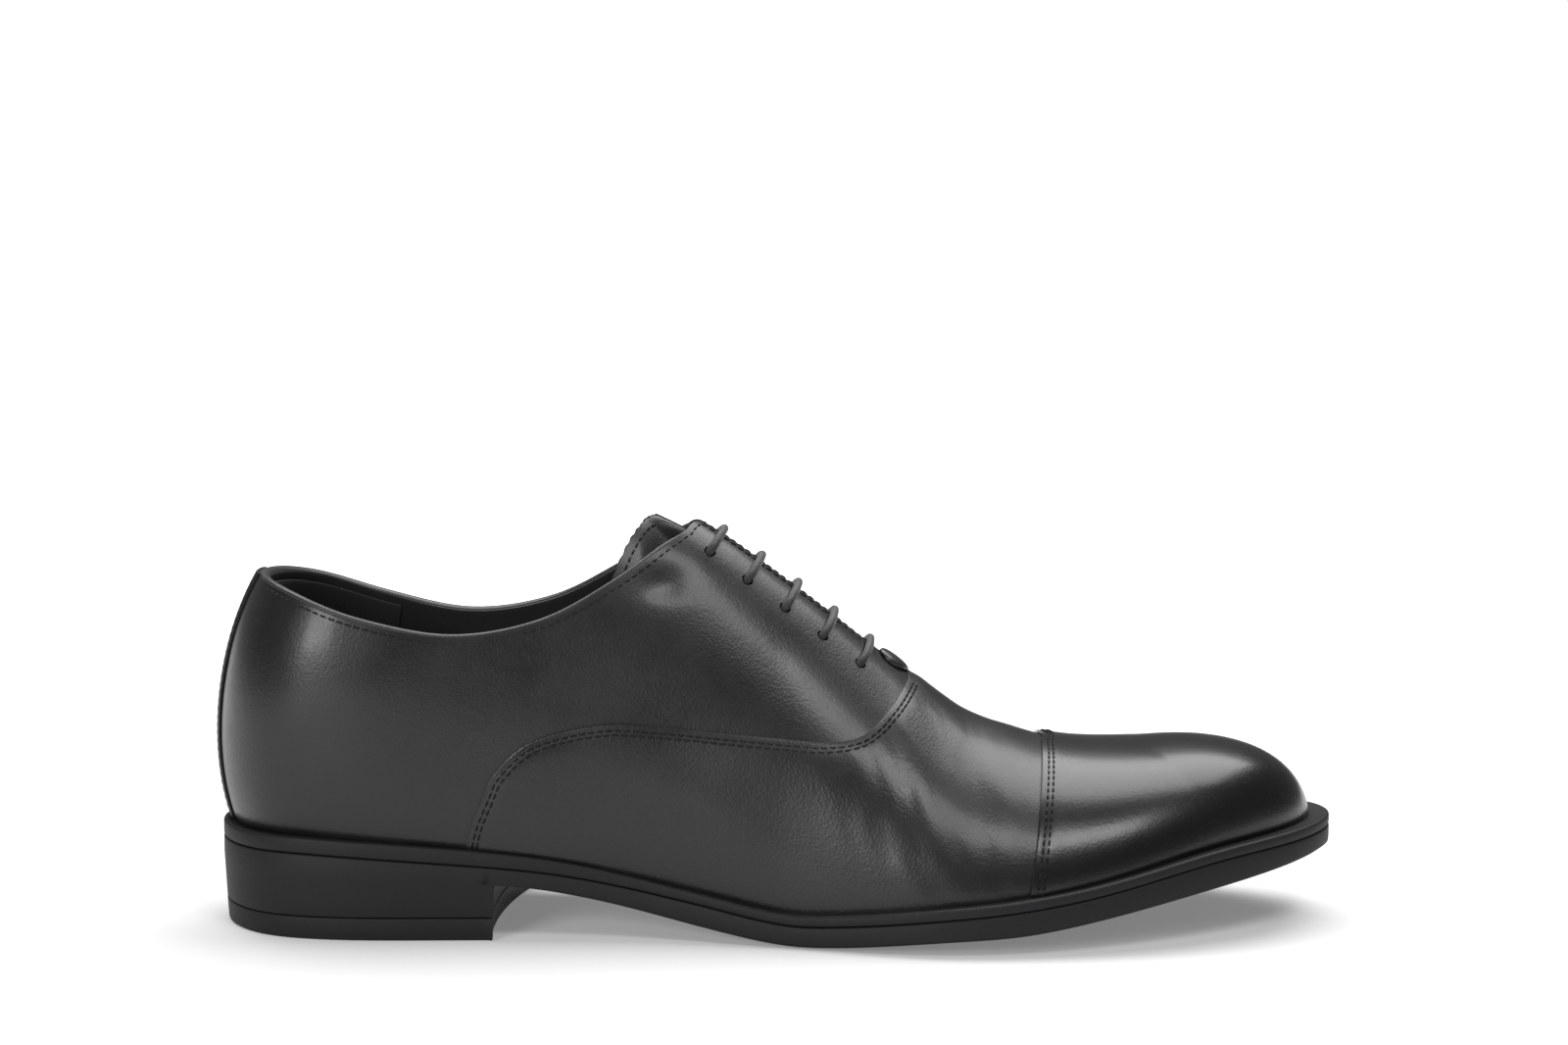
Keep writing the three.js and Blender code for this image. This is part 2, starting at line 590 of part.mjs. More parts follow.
function vampLining() {
  const region = sideCut(vectors(graded([[VAMP_LINING_BACK, -FAR], [FAR, -FAR], [FAR, FAR], [188, FAR],
    [188, 60], [172, 56], [VAMP_LINING_BACK + 6, 52]])), -FAR, FAR);
  return cut(layer(STIFFENER_LAYER), region);
}

function quarterLining(side) {
  const region = sideCut(vectors(graded([[-FAR, -FAR], [QUARTER_LINING_FRONT, -FAR],
    [QUARTER_LINING_FRONT, 50],
    [176, 54], [186, 60], [186, FAR], [-FAR, FAR]])), -FAR, FAR);
  return drilled(cut(layer(LINING_LAYER), belowTopline, region, half(side)), side, STAY_HOLE);
}

const GRIP_FOOT = sockTop(0) + GAP + 1;
const aboveSock = sideCut(vectors([[-FAR, GRIP_FOOT], [FAR, GRIP_FOOT], [FAR, FAR], [-FAR, FAR]]), -FAR, FAR);
const heelGrip = () => cut(layer(GRIP_LAYER), belowTopline, behind(GRIP_REACH * GRADE), aboveSock);

// ---- Tongue ----------------------------------------------------------------------------------
function tonguePiece(lift, inset) {
  const depth = (extra) => (u) => {
    const x = skinPoint(LATERAL, u, 1).x;
    const free = -LINING_LAYER[0] + TONGUE_CLEARANCE;
    const laced = LACE_RADIUS - UNDER + TONGUE_CLEARANCE;
    const share = THREE.MathUtils.smoothstep(x, 116 * GRADE, 130 * GRADE);
    return -THREE.MathUtils.lerp(free, laced, share) - lift - extra;
  };
  const { halfTop, halfBase } = TONGUE;
  const [top, base] = [TONGUE.top * GRADE, TONGUE.base * GRADE];
  const outline = new THREE.Shape(vectors([[top + inset, -halfTop + inset + 3],
    [top + inset + 5, -halfTop + inset],
    [base - inset, -halfBase + inset], [base - inset, halfBase - inset], [top + inset + 5, halfTop - inset],
    [top + inset, halfTop - inset - 3], [top + inset + TONGUE.dip, 0]]));
  const wings = sideCut(vectors(graded([[100, 94], [190, 46], [190, FAR], [100, FAR]])), -FAR, FAR);
  return cut(dome(depth(TONGUE_THICKNESS), depth(0)), planCut(outline, 40, 150), wings);
}

const tongue = () => tonguePiece(0, 0);
const tongueLining = () => tonguePiece(TONGUE_THICKNESS + GAP, 1.5);

// ---- The sole --------------------------------------------------------------------------------
const outsoleBottom = (x, q) => {
  const crown = OUTSOLE_CROWN * THREE.MathUtils.smoothstep(x / GRADE, 77, 130);
  return Math.max(outsoleEdge(x) - crown * (1 - q * q), 0);
};
const nailPlaces = NAIL.spots.map(([x, y]) => new THREE.Vector3(x, y, 0));
const nailHoles = (solid) => nailPlaces.reduce((left, p) => left.subtract(cylinderAlong(
  p.clone().setZ(NAIL.tip - NAIL.clearance), p.clone().setZ(60), NAIL.head + NAIL.clearance, 8)), solid);

const weltMiddle = (inset, margin) =>
  slab({
    insetTop: inset,
    top: (x) => weltTop(x) + margin,
    bottom: (x) => weltSeam(x) + SEAM_CLEARANCE - margin,
  });
const welt = () => weltMiddle(0, 0).subtract(weltMiddle((x) => setback(x) + WELT_WIDTH_INSIDE, 5));
const outsole = () => nailHoles(slab({ insetTop: 0, top: (x) => weltSeam(x), bottom: outsoleBottom }));
const fillerInset = (x) => setback(x) + WELT_WIDTH_INSIDE + GAP;

function shankShape(grow) {
  const { from, to, width, thickness } = SHANK;
  const length = (to - from) * GRADE + 2 * grow;
  const steps = [...Array(13).keys()].map((i) => from * GRADE - grow + (length * i) / 12);
  const upper = steps.map((x) => new THREE.Vector2(x, weltTop(x) - GAP + (grow ? 5 : 0)));
  const lower = steps.map((x) => new THREE.Vector2(x, weltTop(x) - GAP - thickness - grow)).reverse();
  return sideCut([...upper.reverse(), ...lower.reverse()].reverse(), -width / 2 - grow, width / 2 + grow);
}

const bottomFiller = () => nailHoles(weltMiddle(fillerInset, 0).subtract(shankShape(GAP)));
const insoleBoard = () =>
  nailHoles(slab({ insetTop: insideWall, top: (x) => insoleTop(x), bottom: (x) => weltTop(x) + GAP }));
const sockLiner = () => slab({
  insetTop: (x) => insideWall(x) + WALL_CLOSING * (INSOLE_THICKNESS + SOCK_THICKNESS),
  top: (x) => sockTop(x), bottom: (x) => insoleTop(x) + GAP });

function heelPlan() {
  const breast = HEEL_BREAST * GRADE;
  const shape = new THREE.Shape(vectors([[-20, -70], [breast, -70], [breast, -34]]));
  shape.quadraticCurveTo(breast - BREAST_CURVE, 0, breast + BREAST_SKEW, 34);
  shape.lineTo(breast + BREAST_SKEW, 70);
  shape.lineTo(-20, 70);
  return shape;
}

const heelTaper = (share) => () => HEEL_TAPER * share;

function heelBlock() {
  const block = slab({
    insetTop: 0,
    insetBottom: heelTaper(0.6),
    top: (x) => outsoleEdge(x) - GAP,
    bottom: () => TOP_LIFT_THICKNESS + GAP,
  });
  const drilledBlock = nailPlaces.reduce((left, p) => left.subtract(cylinderAlong(
    p.clone().setZ(NAIL.tip - NAIL.clearance), p.clone().setZ(60), NAIL.radius + NAIL.clearance, 8)), block);
  return drilledBlock.intersect(planCut(heelPlan(), 0, 30));
}

const topLift = () => slab({
  insetTop: heelTaper(0.6),
  insetBottom: heelTaper(1),
  top: () => TOP_LIFT_THICKNESS,
  bottom: () => 0,
}).intersect(planCut(heelPlan(), -1, 30));

function heelNail({ x, y }) {
  const { radius, head, tip } = NAIL;
  const top = insoleTop(x) - 0.4;
  const outsoleTop = outsoleEdge(x) + 1;
  const profile = vectors([[0, tip], [radius * 0.6, tip + 1], [radius, tip + 3], [radius, outsoleTop],
    [head, outsoleTop + 2], [head, top], [0, top]]);
  const geometry = new THREE.LatheGeometry(profile, 8).rotateX(Math.PI / 2);
  return solidFrom(geometry.translate(x, y, 0));
}

// ---- Lacing ----------------------------------------------------------------------------------
function eyelet(side, row) {
  const spot = findSpot(side, ...eyeletPlace(row));
  const [inner, outer] = [HOLE_RADIUS, HOLE_RADIUS + EYELET_WALL];
  const base = -FLANGE_DEPTH - EYELET_WALL;
  const top = STIFFENER_LAYER[1] - GAP;
  const profile = vectors([[inner, base], [EYELET_FLANGE, base], [EYELET_FLANGE, base + EYELET_WALL],
    [outer, base + EYELET_WALL], [outer, top], [inner, top], [inner, base]]);
  const geometry = new THREE.LatheGeometry(profile, 10);
  geometry.applyQuaternion(turnTo(skinNormal(side, ...spot)));
  return solidFrom(geometry.translate(...skinPoint(side, ...spot)));
}

const laceRoute = new LaceRoute(lacePoints, false, "centripetal");
const shoelace = () => tubeAlong(laceRoute, LACE_RADIUS, 6, 2 * (lacePoints.length - 1));

function aglet(t) {
  const end = laceRoute.getPoint(t);
  const away = laceRoute.getTangent(t).multiplyScalar(t ? 1 : -1);
  const [from, to] = [GAP, GAP + AGLET.length].map((reach) => end.clone().addScaledVector(away, reach));
  return cylinderAlong(from, to, AGLET.radius, 8);
}

// ---- Materials and assembly ------------------------------------------------------------------
const finish = (color, roughness, metalness = 0) =>
  new THREE.MeshStandardMaterial({ color, roughness, metalness });
const materials = {
  calf: finish(0x17171a, 0.32),
  lining: finish(0x1b1b1d, 0.7),
  suede: finish(0x141416, 0.95),
  rubber: finish(0x101012, 0.75),
  board: finish(0x8c6f4e, 0.9),
  cork: finish(0xa98358, 0.95),
  canvas: finish(0xcfc8b8, 0.95),
  stiffener: finish(0xd8d2c4, 0.6),
  thread: finish(0x0d0d0f, 0.55),
  steel: finish(0xa7a9ac, 0.35, 1),
};

function mesh(name, solid, material) {
  const made = new THREE.Mesh(geometryFrom(solid), material);
  made.name = name;
  return made;
}

const groupOf = (name, ...children) => {
  const group = new THREE.Group().add(...children);
  group.name = name;
  return group;
};

const sides = [["lateral", LATERAL], ["medial", MEDIAL]];
const upper = groupOf("upper",
  mesh("toe_cap", toeCap(), materials.calf),
  mesh("vamp", vamp(), materials.calf),
  ...sides.map(([name, side]) => mesh(`quarter_${name}`, quarter(side), materials.calf)),
  mesh("back_strip", backStrip(), materials.calf),
  mesh("throat_tab", throatTab(), materials.calf),
  mesh("topline_binding", topBinding(), materials.calf),
  mesh("toe_puff", toePuff(), materials.stiffener),
  mesh("vamp_interlining", vampInterlining(), materials.canvas),
  mesh("heel_counter", heelCounter(), materials.stiffener),
  ...sides.map(([name, side]) => mesh(`facing_stay_${name}`, facingStay(side), materials.canvas)),
  mesh("vamp_lining", vampLining(), materials.lining),
  ...sides.map(([name, side]) => mesh(`quarter_lining_${name}`, quarterLining(side), materials.lining)),
  mesh("heel_grip", heelGrip(), materials.suede));

const tonguePieces = groupOf("tongue_pieces",
  mesh("tongue", tongue(), materials.calf),
  mesh("tongue_lining", tongueLining(), materials.lining));

const bottom = groupOf("bottom",
  mesh("welt", welt(), materials.rubber),
  mesh("outsole", outsole(), materials.rubber),
  mesh("heel_block", heelBlock(), materials.rubber),
  mesh("top_lift", topLift(), materials.rubber),
  mesh("bottom_filler", bottomFiller(), materials.cork),
  mesh("shank", shankShape(0), materials.steel),
  mesh("insole_board", insoleBoard(), materials.board),
  mesh("sock_liner", sockLiner(), materials.lining),
  ...nailPlaces.map((place, i) => mesh(`heel_nail_${i + 1}`, heelNail(place), materials.steel)));

const lacing = groupOf("lacing",
  mesh("shoelace", shoelace(), materials.thread),
  mesh("aglet_1", aglet(0), materials.thread),
  mesh("aglet_2", aglet(1), materials.thread),
  ...sides.flatMap(([name, side]) => [...Array(EYELETS).keys()].map((row) =>
    mesh(`eyelet_${name}_${row + 1}`, eyelet(side, row), materials.steel))));

// The origin is the middle of the box's lower face.
const shoe = groupOf("shoe", upper, tonguePieces, bottom, lacing);
const box = new THREE.Box3().setFromObject(shoe);
shoe.position.set(-(box.min.x + box.max.x) / 2, -(box.min.y + box.max.y) / 2, -box.min.z);

export default groupOf("oxford_shoe", shoe);
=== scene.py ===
# %% [markdown]
# # A black leather oxford, piece by piece
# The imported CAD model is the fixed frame: it says where every piece of the shoe lies. This notebook makes
# the finished look around it. The upper is smooth calf over a last, sewn with fine thread, on a rubber sole.

# %% Load the frame
import bisect
import math

import bpy
import numpy as np
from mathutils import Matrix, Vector, noise


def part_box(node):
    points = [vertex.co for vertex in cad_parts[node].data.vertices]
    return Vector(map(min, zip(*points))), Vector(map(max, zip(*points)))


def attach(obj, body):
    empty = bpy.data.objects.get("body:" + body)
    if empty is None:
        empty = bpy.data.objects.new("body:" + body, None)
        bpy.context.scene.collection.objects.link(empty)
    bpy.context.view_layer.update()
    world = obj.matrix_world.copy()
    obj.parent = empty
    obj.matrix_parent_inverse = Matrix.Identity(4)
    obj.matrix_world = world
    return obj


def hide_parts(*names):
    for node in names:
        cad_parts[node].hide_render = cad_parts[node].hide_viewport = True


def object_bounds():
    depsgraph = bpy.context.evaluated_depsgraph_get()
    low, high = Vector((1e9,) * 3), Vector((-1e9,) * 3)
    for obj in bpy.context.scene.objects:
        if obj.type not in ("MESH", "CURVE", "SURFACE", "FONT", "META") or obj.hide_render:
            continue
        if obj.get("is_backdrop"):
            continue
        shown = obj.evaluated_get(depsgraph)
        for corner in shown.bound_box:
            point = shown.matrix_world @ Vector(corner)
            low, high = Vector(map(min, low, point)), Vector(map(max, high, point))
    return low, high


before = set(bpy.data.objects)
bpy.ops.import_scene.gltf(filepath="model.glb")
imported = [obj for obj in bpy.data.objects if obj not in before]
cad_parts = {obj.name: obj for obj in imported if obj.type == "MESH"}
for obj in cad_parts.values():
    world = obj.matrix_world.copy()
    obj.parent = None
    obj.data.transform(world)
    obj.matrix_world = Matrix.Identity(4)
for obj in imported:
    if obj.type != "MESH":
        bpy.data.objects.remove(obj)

CAD_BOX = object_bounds()
MM = 0.001
print("CAD nodes:", len(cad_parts))

# %% [markdown]
# ## Where the shoe stands
# The shoe is designed from the back of its heel (x = 0) to the tip of its toe, in millimetres, with the
# lateral side at negative y. The frame's origin is the middle of the shoe instead, so the outsole's box
# gives the shift from the one to the other.

# %% The shoe's own coordinates
SOLE_LENGTH = 304.0
low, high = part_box("outsole")
SHIFT_X = low.x / MM
LATERAL, MEDIAL = -1, 1


def place(x, y, z):
    """A point of the shoe, in its own millimetres, as metres in the frame."""
    return Vector(((x + SHIFT_X) * MM, (y + SHIFT_Y) * MM, z * MM))


# %% [markdown]
# ## Smooth curves through a few stations
# A shoemaker measures a last at a few stations and fairs a smooth line through them. The same is done here:
# a short table of stations, and a cubic that passes through each with the slope of its neighbours.

# %% Faired lines
def through(stations, column=1):
    xs = [s[0] for s in stations]
    vs = [s[column] for s in stations]
    last = len(xs) - 1

    def slope(i):
        a, b = max(i - 1, 0), min(i + 1, last)
        return (vs[b] - vs[a]) / (xs[b] - xs[a])

    slopes = [slope(i) for i in range(last + 1)]

    def value(x):
        if x <= xs[0]:
            return vs[0]
        if x >= xs[last]:
            return vs[last]
        i = bisect.bisect_right(xs, x) - 1
        span = xs[i + 1] - xs[i]
        f = (x - xs[i]) / span
        return (vs[i] * (1 + 2 * f) * (1 - f) ** 2 + vs[i + 1] * f * f * (3 - 2 * f)
                + span * f * (1 - f) * (slopes[i] * (1 - f) - slopes[i + 1] * f))

    return value


def smooth_step(x, low, high):
    f = min(max((x - low) / (high - low), 0.0), 1.0)
    return f * f * (3 - 2 * f)


# %% Driving dimensions, millimetres
# [x, lateral half breadth, medial half breadth] of the sole's edge seen from above.
SOLE_BREADTHS = [(12, 25.5, 25), (34, 33.5, 33), (77, 34, 32), (115, 34, 27.5), (150, 41, 33.5),
                 (190, 51, 46), (215, 51.5, 48.5), (245, 46.5, 43.5), (272, 36.5, 34.5), (292, 23.5, 22.5)]
TOE_SWING, SWING_START = 4.0, 190.0
WELT_TOP = [(0, 27.6), (28, 27.4), (62, 25), (92, 21.6), (129, 13.8), (153, 9.1), (167, 9.3), (195, 12.3),
            (215, 14.4), (235, 17.6), (270, 24.9), (304, 28)]
WELT_HEEL, WELT_FOREPART = 4.3, 2.8
OUTSOLE_EDGE = [(0, 18.4), (77, 15.2), (99, 11.9), (133, 4.1), (153, 0.7), (167, 0.8), (195, 3.6), (215, 5.1),
                (229, 7.2), (264, 14), (304, 20.6)]
OUTSOLE_CROWN = 0.7
# The last: [x, setback from the sole's edge, outward lean, rise of the wall, breadth of the crest].
SKIN = [(0, 4.4, 12.4, 29, 43.8), (34, 4, 8.5, 31, 34), (77, 3.8, 4.5, 34, 25), (115, 4.2, 6, 35, 22),
        (150, 5, 4, 30, 21.5), (190, 6, 3.5, 21, 22), (215, 6.6, 3, 17, 24), (245, 7.4, 2.2, 13.5, 27),
        (304, 8, 0.4, 11, 32.5)]
CREST = [(40, 119.5), (75, 122.5), (105, 119.5), (131, 108.8), (157, 90.6), (184, 69.3), (201, 56.5),
         (213, 51.4), (228, 47.2), (248, 45.9), (262, 46.8)]
CREST_BACK, CREST_FRONT = (75, 30), (220, 42)
SKIN_TUCK = 3.0

welt_top = through(WELT_TOP)
outsole_edge = through(OUTSOLE_EDGE)
crest_height = through(CREST)
setback, lean, rise, crest_breadth = (through(SKIN, c) for c in (1, 2, 3, 4))


def turn_of(x):
    """0 at the heel's back, 1 at the toe's tip, evenly round both ends."""
    return math.acos(min(max(1 - 2 * x / SOLE_LENGTH, -1), 1)) / math.pi


breadths = {side: through([(0, 0)] + [(turn_of(s[0]), s[column]) for s in SOLE_BREADTHS] + [(1, 0)])
            for side, column in ((LATERAL, 1), (MEDIAL, 2))}


def swing(x):
    return TOE_SWING * min(max((x - SWING_START) / (SOLE_LENGTH - SWING_START), 0), 1) ** 2


def sole_edge(side, u):
    x = SOLE_LENGTH * (1 - math.cos(math.pi * u)) / 2
    half = breadths[side](min(abs(u), 2 - u)) * (-1 if u < 0 or u > 1 else 1)
    return x, swing(x) + side * half


def inset_edge(side, u, inset):
    """The sole's edge moved inwards, with its outward direction."""
    ax, ay = sole_edge(side, u + 1e-3)
    bx, by = sole_edge(side, u - 1e-3)
    length = math.hypot(ax - bx, ay - by)
    out = (-side * (ay - by) / length, side * (ax - bx) / length)
    x, y = sole_edge(side, u)
    return (x - out[0] * inset, y - out[1] * inset), out


SHIFT_Y = low.y / MM - min(sole_edge(LATERAL, i / 32)[1] for i in range(33))
print("shift of the shoe in the frame, mm:", round(SHIFT_X, 2), round(SHIFT_Y, 2))

# %% [markdown]
# ## The skin of the last
# An upper is pulled over a wooden last, so every leather piece follows one surface. Here it is a loft: at
# each turn round the sole a cubic runs from the feather line up the wall and over to the crest. A point of
# the skin is (turn, way), where way is -1 on the lateral feather line, 0 on the crest and +1 on the medial
# feather line.

# %% The loft
def crest_place(x):
    (back, back_reach), (front, front_reach) = CREST_BACK, CREST_FRONT
    if x < back:
        return back - back_reach * (1 - math.exp((x - back) / back_reach))
    if x > front:
        return front + front_reach * (1 - math.exp((front - x) / front_reach))
    return x


curve_cache = {}


def skin_curve(side, u):
    key = (side, round(u, 7))
    if key not in curve_cache:
        station = sole_edge(side, u)[0]
        (px, py), out = inset_edge(side, u, setback(station))
        foot = np.array((px, py, welt_top(px) - SKIN_TUCK))
        wall = foot + (out[0] * lean(station), out[1] * lean(station), rise(station))
        x = crest_place(px)
        crest = np.array((x, swing(x), crest_height(x)))
        pitch = crest_height(x + 0.5) - crest_height(x - 0.5)
        shoulder = crest + np.array((out[0], out[1], out[0] * pitch)) * crest_breadth(station)
        curve_cache[key] = (foot, wall, shoulder, crest)
    return curve_cache[key]


def skin_point(side, u, t):
    a, b, c, d = skin_curve(side, u)
    s = 1 - t
    return a * s ** 3 + b * 3 * s * s * t + c * 3 * s * t * t + d * t ** 3


def skin_normal(side, u, t):
    if t > 0.999:
        x = skin_point(side, u, 1)[0]
        normal = np.array((crest_height(x - 0.5) - crest_height(x + 0.5), 0, 1))
        return normal / np.linalg.norm(normal)
    t = min(max(t, 0.001), 0.995)
    if u <= 0 or u >= 1:
        along = np.array((0, side if u <= 0 else -side, 0))
    else:
        along = skin_point(side, min(u + 1e-3, 1), t) - skin_point(side, max(u - 1e-3, 0), t)
    up = skin_point(side, u, t + 1e-3) - skin_point(side, u, t - 1e-3)
    normal = np.cross(along, up) * -side
    return normal / np.linalg.norm(normal)


def on_skin(turn, way, depth=0.0):
    """A point at a distance out from the skin."""
    side = LATERAL if way <= 0 else MEDIAL
    t = 1 - abs(way)
    return skin_point(side, turn, t) + skin_normal(side, turn, t) * depth


def find_spot(side, x, z):
    """The (turn, way) seen from the side at (x, z)."""
    u, t = turn_of(x), 0.5
    for _ in range(10):
        lo, hi = 0.0, 1.0
        for _ in range(24):
            t = (lo + hi) / 2
            if skin_point(side, u, t)[2] < z:
                lo = t
            else:
                hi = t
        u = turn_of(min(max(sole_edge(side, u)[0] + x - skin_point(side, u, t)[0], 0.01), SOLE_LENGTH - 0.01))
    return u, side * (1 - t)


print("crest above the fifth eyelet, mm:", round(crest_height(175), 1))

# %% [markdown]
# ## Camera
# The shoe is seen from its lateral side, a little from above, through a long lens. The camera is level from
# left to right and looks down a few degrees. A Track To constraint could aim it, but plain angles are easier
# to read and stay put when the shoe changes.

# %% Camera
CAMERA_AT = (153.7, -872.0, 208.0)
CAMERA_TILT = math.radians(6.53)
CAMERA_LENS = 74.0
bpy.ops.object.camera_add(location=place(*CAMERA_AT), rotation=(math.pi / 2 - CAMERA_TILT, 0, 0))
camera = bpy.context.object
camera.name = "Camera"
camera.data.lens = CAMERA_LENS
camera.data.sensor_width = 36
camera.data.clip_start = 0.05
bpy.context.scene.camera = camera
print("camera, m:", tuple(round(v, 3) for v in camera.location))

# %% [markdown]
# ## Floor and light
# Black calf shows its shape by what it mirrors. One broad lamp above and behind lights the tops of the toe
# and the vamp; a second from the left gives the heel its highlight, and a third, high in front, the vamp's.
# The floor glows more the further it is from the shoe, and the world looks white to the camera but lights
# the shoe only weakly, so the leather stays dark in front of a white ground.

# %% Floor
def stage_finish(name, color, glow_near, glow_far, near, far):
    """A pale finish that glows more with the distance, so that the floor runs into the white behind."""
    finish = bpy.data.materials.new(name)
    finish.use_nodes = True
    nodes, links = finish.node_tree.nodes, finish.node_tree.links
    shader = nodes["Principled BSDF"]
    shader.inputs["Base Color"].default_value = (*color, 1)
    shader.inputs["Roughness"].default_value = 0.85
    shader.inputs["Specular IOR Level"].default_value = 0.1
    shader.inputs["Emission Color"].default_value = (1, 1, 1, 1)
    length = nodes.new("ShaderNodeVectorMath")
    length.operation = "LENGTH"
    glow = nodes.new("ShaderNodeMapRange")
    for socket, value in (("From Min", near), ("From Max", far), ("To Min", glow_near), ("To Max", glow_far)):
        glow.inputs[socket].default_value = value
    links.new(nodes.new("ShaderNodeTexCoord").outputs["Object"], length.inputs[0])
    links.new(length.outputs["Value"], glow.inputs["Value"])
    links.new(glow.outputs["Result"], shader.inputs["Emission Strength"])
    return finish


bpy.ops.mesh.primitive_plane_add(size=16, location=(0, 0, 0))
floor = bpy.context.object
floor.name = "floor"
floor.data.materials.append(stage_finish("pale_floor", (0.6, 0.6, 0.605), 0.2, 1.0, 0.2, 0.9))
floor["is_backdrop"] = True

# %% Lamps
def soft_lamp(name, at, aim, width, height, power):
    bpy.ops.object.light_add(type="AREA", location=at)
    lamp = bpy.context.object
    lamp.name = name
    lamp.data.shape = "RECTANGLE"
    lamp.data.size, lamp.data.size_y = width, height
    lamp.data.energy = power
    lamp.rotation_euler = (Vector(aim) - Vector(at)).to_track_quat("-Z", "Y").to_euler()
    return lamp


soft_lamp("top_softbox", (0.05, 0.42, 1.1), (0.0, 0.0, 0.03), 1.6, 0.9, 26)
soft_lamp("front_softbox", (-0.72, -1.15, 0.5), (-0.02, 0.0, 0.06), 0.55, 0.35, 10)
soft_lamp("toe_softbox", (0.4, -0.8, 1.1), (0.06, 0.0, 0.04), 0.5, 0.35, 6)
world = bpy.data.worlds.new("studio")
bpy.context.scene.world = world
world.use_nodes = True
sky = world.node_tree.nodes["Background"]
sky.inputs["Color"].default_value = (1, 1, 1, 1)
seen = world.node_tree.nodes.new("ShaderNodeLightPath")
strength = world.node_tree.nodes.new("ShaderNodeMapRange")
strength.inputs["To Min"].default_value = 0.15
strength.inputs["To Max"].default_value = 1.0
world.node_tree.links.new(seen.outputs["Is Camera Ray"], strength.inputs["Value"])
world.node_tree.links.new(strength.outputs["Result"], sky.inputs["Strength"])
bpy.context.scene.view_settings.view_transform = "Standard"

# %% [markdown]
# ## Finishes
# Every finish is a small node tree on a Principled shader. Texture patterns read Object coordinates, which
# on these pieces are simply metres in the frame, so the grain has one scale over the whole shoe. What is the
# same all over a finish, such as its coat, is set on the shader itself.

# %% Helpers for finishes
def new_finish(name, color, roughness, **sockets):
    finish = bpy.data.materials.new(name)
    finish.use_nodes = True
    shader = finish.node_tree.nodes["Principled BSDF"]
    shader.inputs["Base Color"].default_value = (*color, 1)
    shader.inputs["Roughness"].default_value = roughness
    for socket, value in sockets.items():
        shader.inputs[socket.replace("_", " ")].default_value = value
    return finish


def add_node(finish, kind, **settings):
    node = finish.node_tree.nodes.new(kind)
    for key, value in settings.items():
        if key in node.inputs:
            node.inputs[key].default_value = value
        else:
            setattr(node, key, value)
    return node


def object_coordinates(finish, stretch=(1, 1, 1)):
    nodes, links = finish.node_tree.nodes, finish.node_tree.links
    coordinates = nodes.new("ShaderNodeTexCoord")
    mapping = nodes.new("ShaderNodeMapping")
    mapping.inputs["Scale"].default_value = stretch
    links.new(coordinates.outputs["Object"], mapping.inputs["Vector"])
    return mapping.outputs["Vector"]


def spread(finish, source, low_value, high_value, from_low=0.3, from_high=0.7):
    """A texture's value carried to a range."""
    node = add_node(finish, "ShaderNodeMapRange")
    for socket, value in (("From Min", from_low), ("From Max", from_high), ("To Min", low_value),
                          ("To Max", high_value)):
        node.inputs[socket].default_value = value
    finish.node_tree.links.new(source, node.inputs["Value"])
    return node.outputs["Result"]


def add_bump(finish, height, strength, distance, below=None):
    bump = add_node(finish, "ShaderNodeBump", Strength=strength, Distance=distance)
    finish.node_tree.links.new(height, bump.inputs["Height"])
    if below:
        finish.node_tree.links.new(below, bump.inputs["Normal"])
    return bump.outputs["Normal"]


def shader_link(finish, source, socket):
    finish.node_tree.links.new(source, finish.node_tree.nodes["Principled BSDF"].inputs[socket])


def tinted(finish, factor, dark, light):
    mix = add_node(finish, "ShaderNodeMix", data_type="RGBA")
    for socket in mix.inputs:
        if socket.name == "A" and socket.type == "RGBA":
            socket.default_value = (*dark, 1)
        if socket.name == "B" and socket.type == "RGBA":
            socket.default_value = (*light, 1)
    finish.node_tree.links.new(factor, mix.inputs["Factor"])
    return next(o for o in mix.outputs if o.type == "RGBA")


# %% [markdown]
# ### Polished calf
# Box calf is dyed through, pressed smooth and waxed. Its grain is a net of tiny rounded cells well under a
# millimetre across; wax fills it unevenly, so the gloss changes softly from place to place. A Voronoi texture
# gives the cells and two noises the wax and the slow cloudiness of the dye.

# %% Calf
def leather_finish(name, dark, light, gloss_low, gloss_high, coat, grain=0.35):
    finish = new_finish(name, dark, gloss_low, Coat_Weight=coat, Coat_Roughness=0.16, Specular_IOR_Level=0.42)
    at = object_coordinates(finish)
    links = finish.node_tree.links
    cells = add_node(finish, "ShaderNodeTexVoronoi", feature="SMOOTH_F1", Scale=1500.0)
    fine = add_node(finish, "ShaderNodeTexNoise", Scale=420.0, Detail=5.0, Roughness=0.6)
    slow = add_node(finish, "ShaderNodeTexNoise", Scale=38.0, Detail=3.0)
    for texture in (cells, fine, slow):
        links.new(at, texture.inputs["Vector"])
    cloud = spread(finish, slow.outputs["Fac"], 0.0, 1.0)
    shader_link(finish, tinted(finish, cloud, dark, light), "Base Color")
    wax = add_node(finish, "ShaderNodeMath", operation="ADD")
    links.new(spread(finish, slow.outputs["Fac"], gloss_low, gloss_high), wax.inputs[0])
    links.new(spread(finish, fine.outputs["Fac"], -0.012, 0.02), wax.inputs[1])
    shader_link(finish, wax.outputs["Value"], "Roughness")
    pores = add_bump(finish, cells.outputs["Distance"], grain, 0.00012)
    shader_link(finish, add_bump(finish, fine.outputs["Fac"], grain * 0.5, 0.00025, pores), "Normal")
    return finish


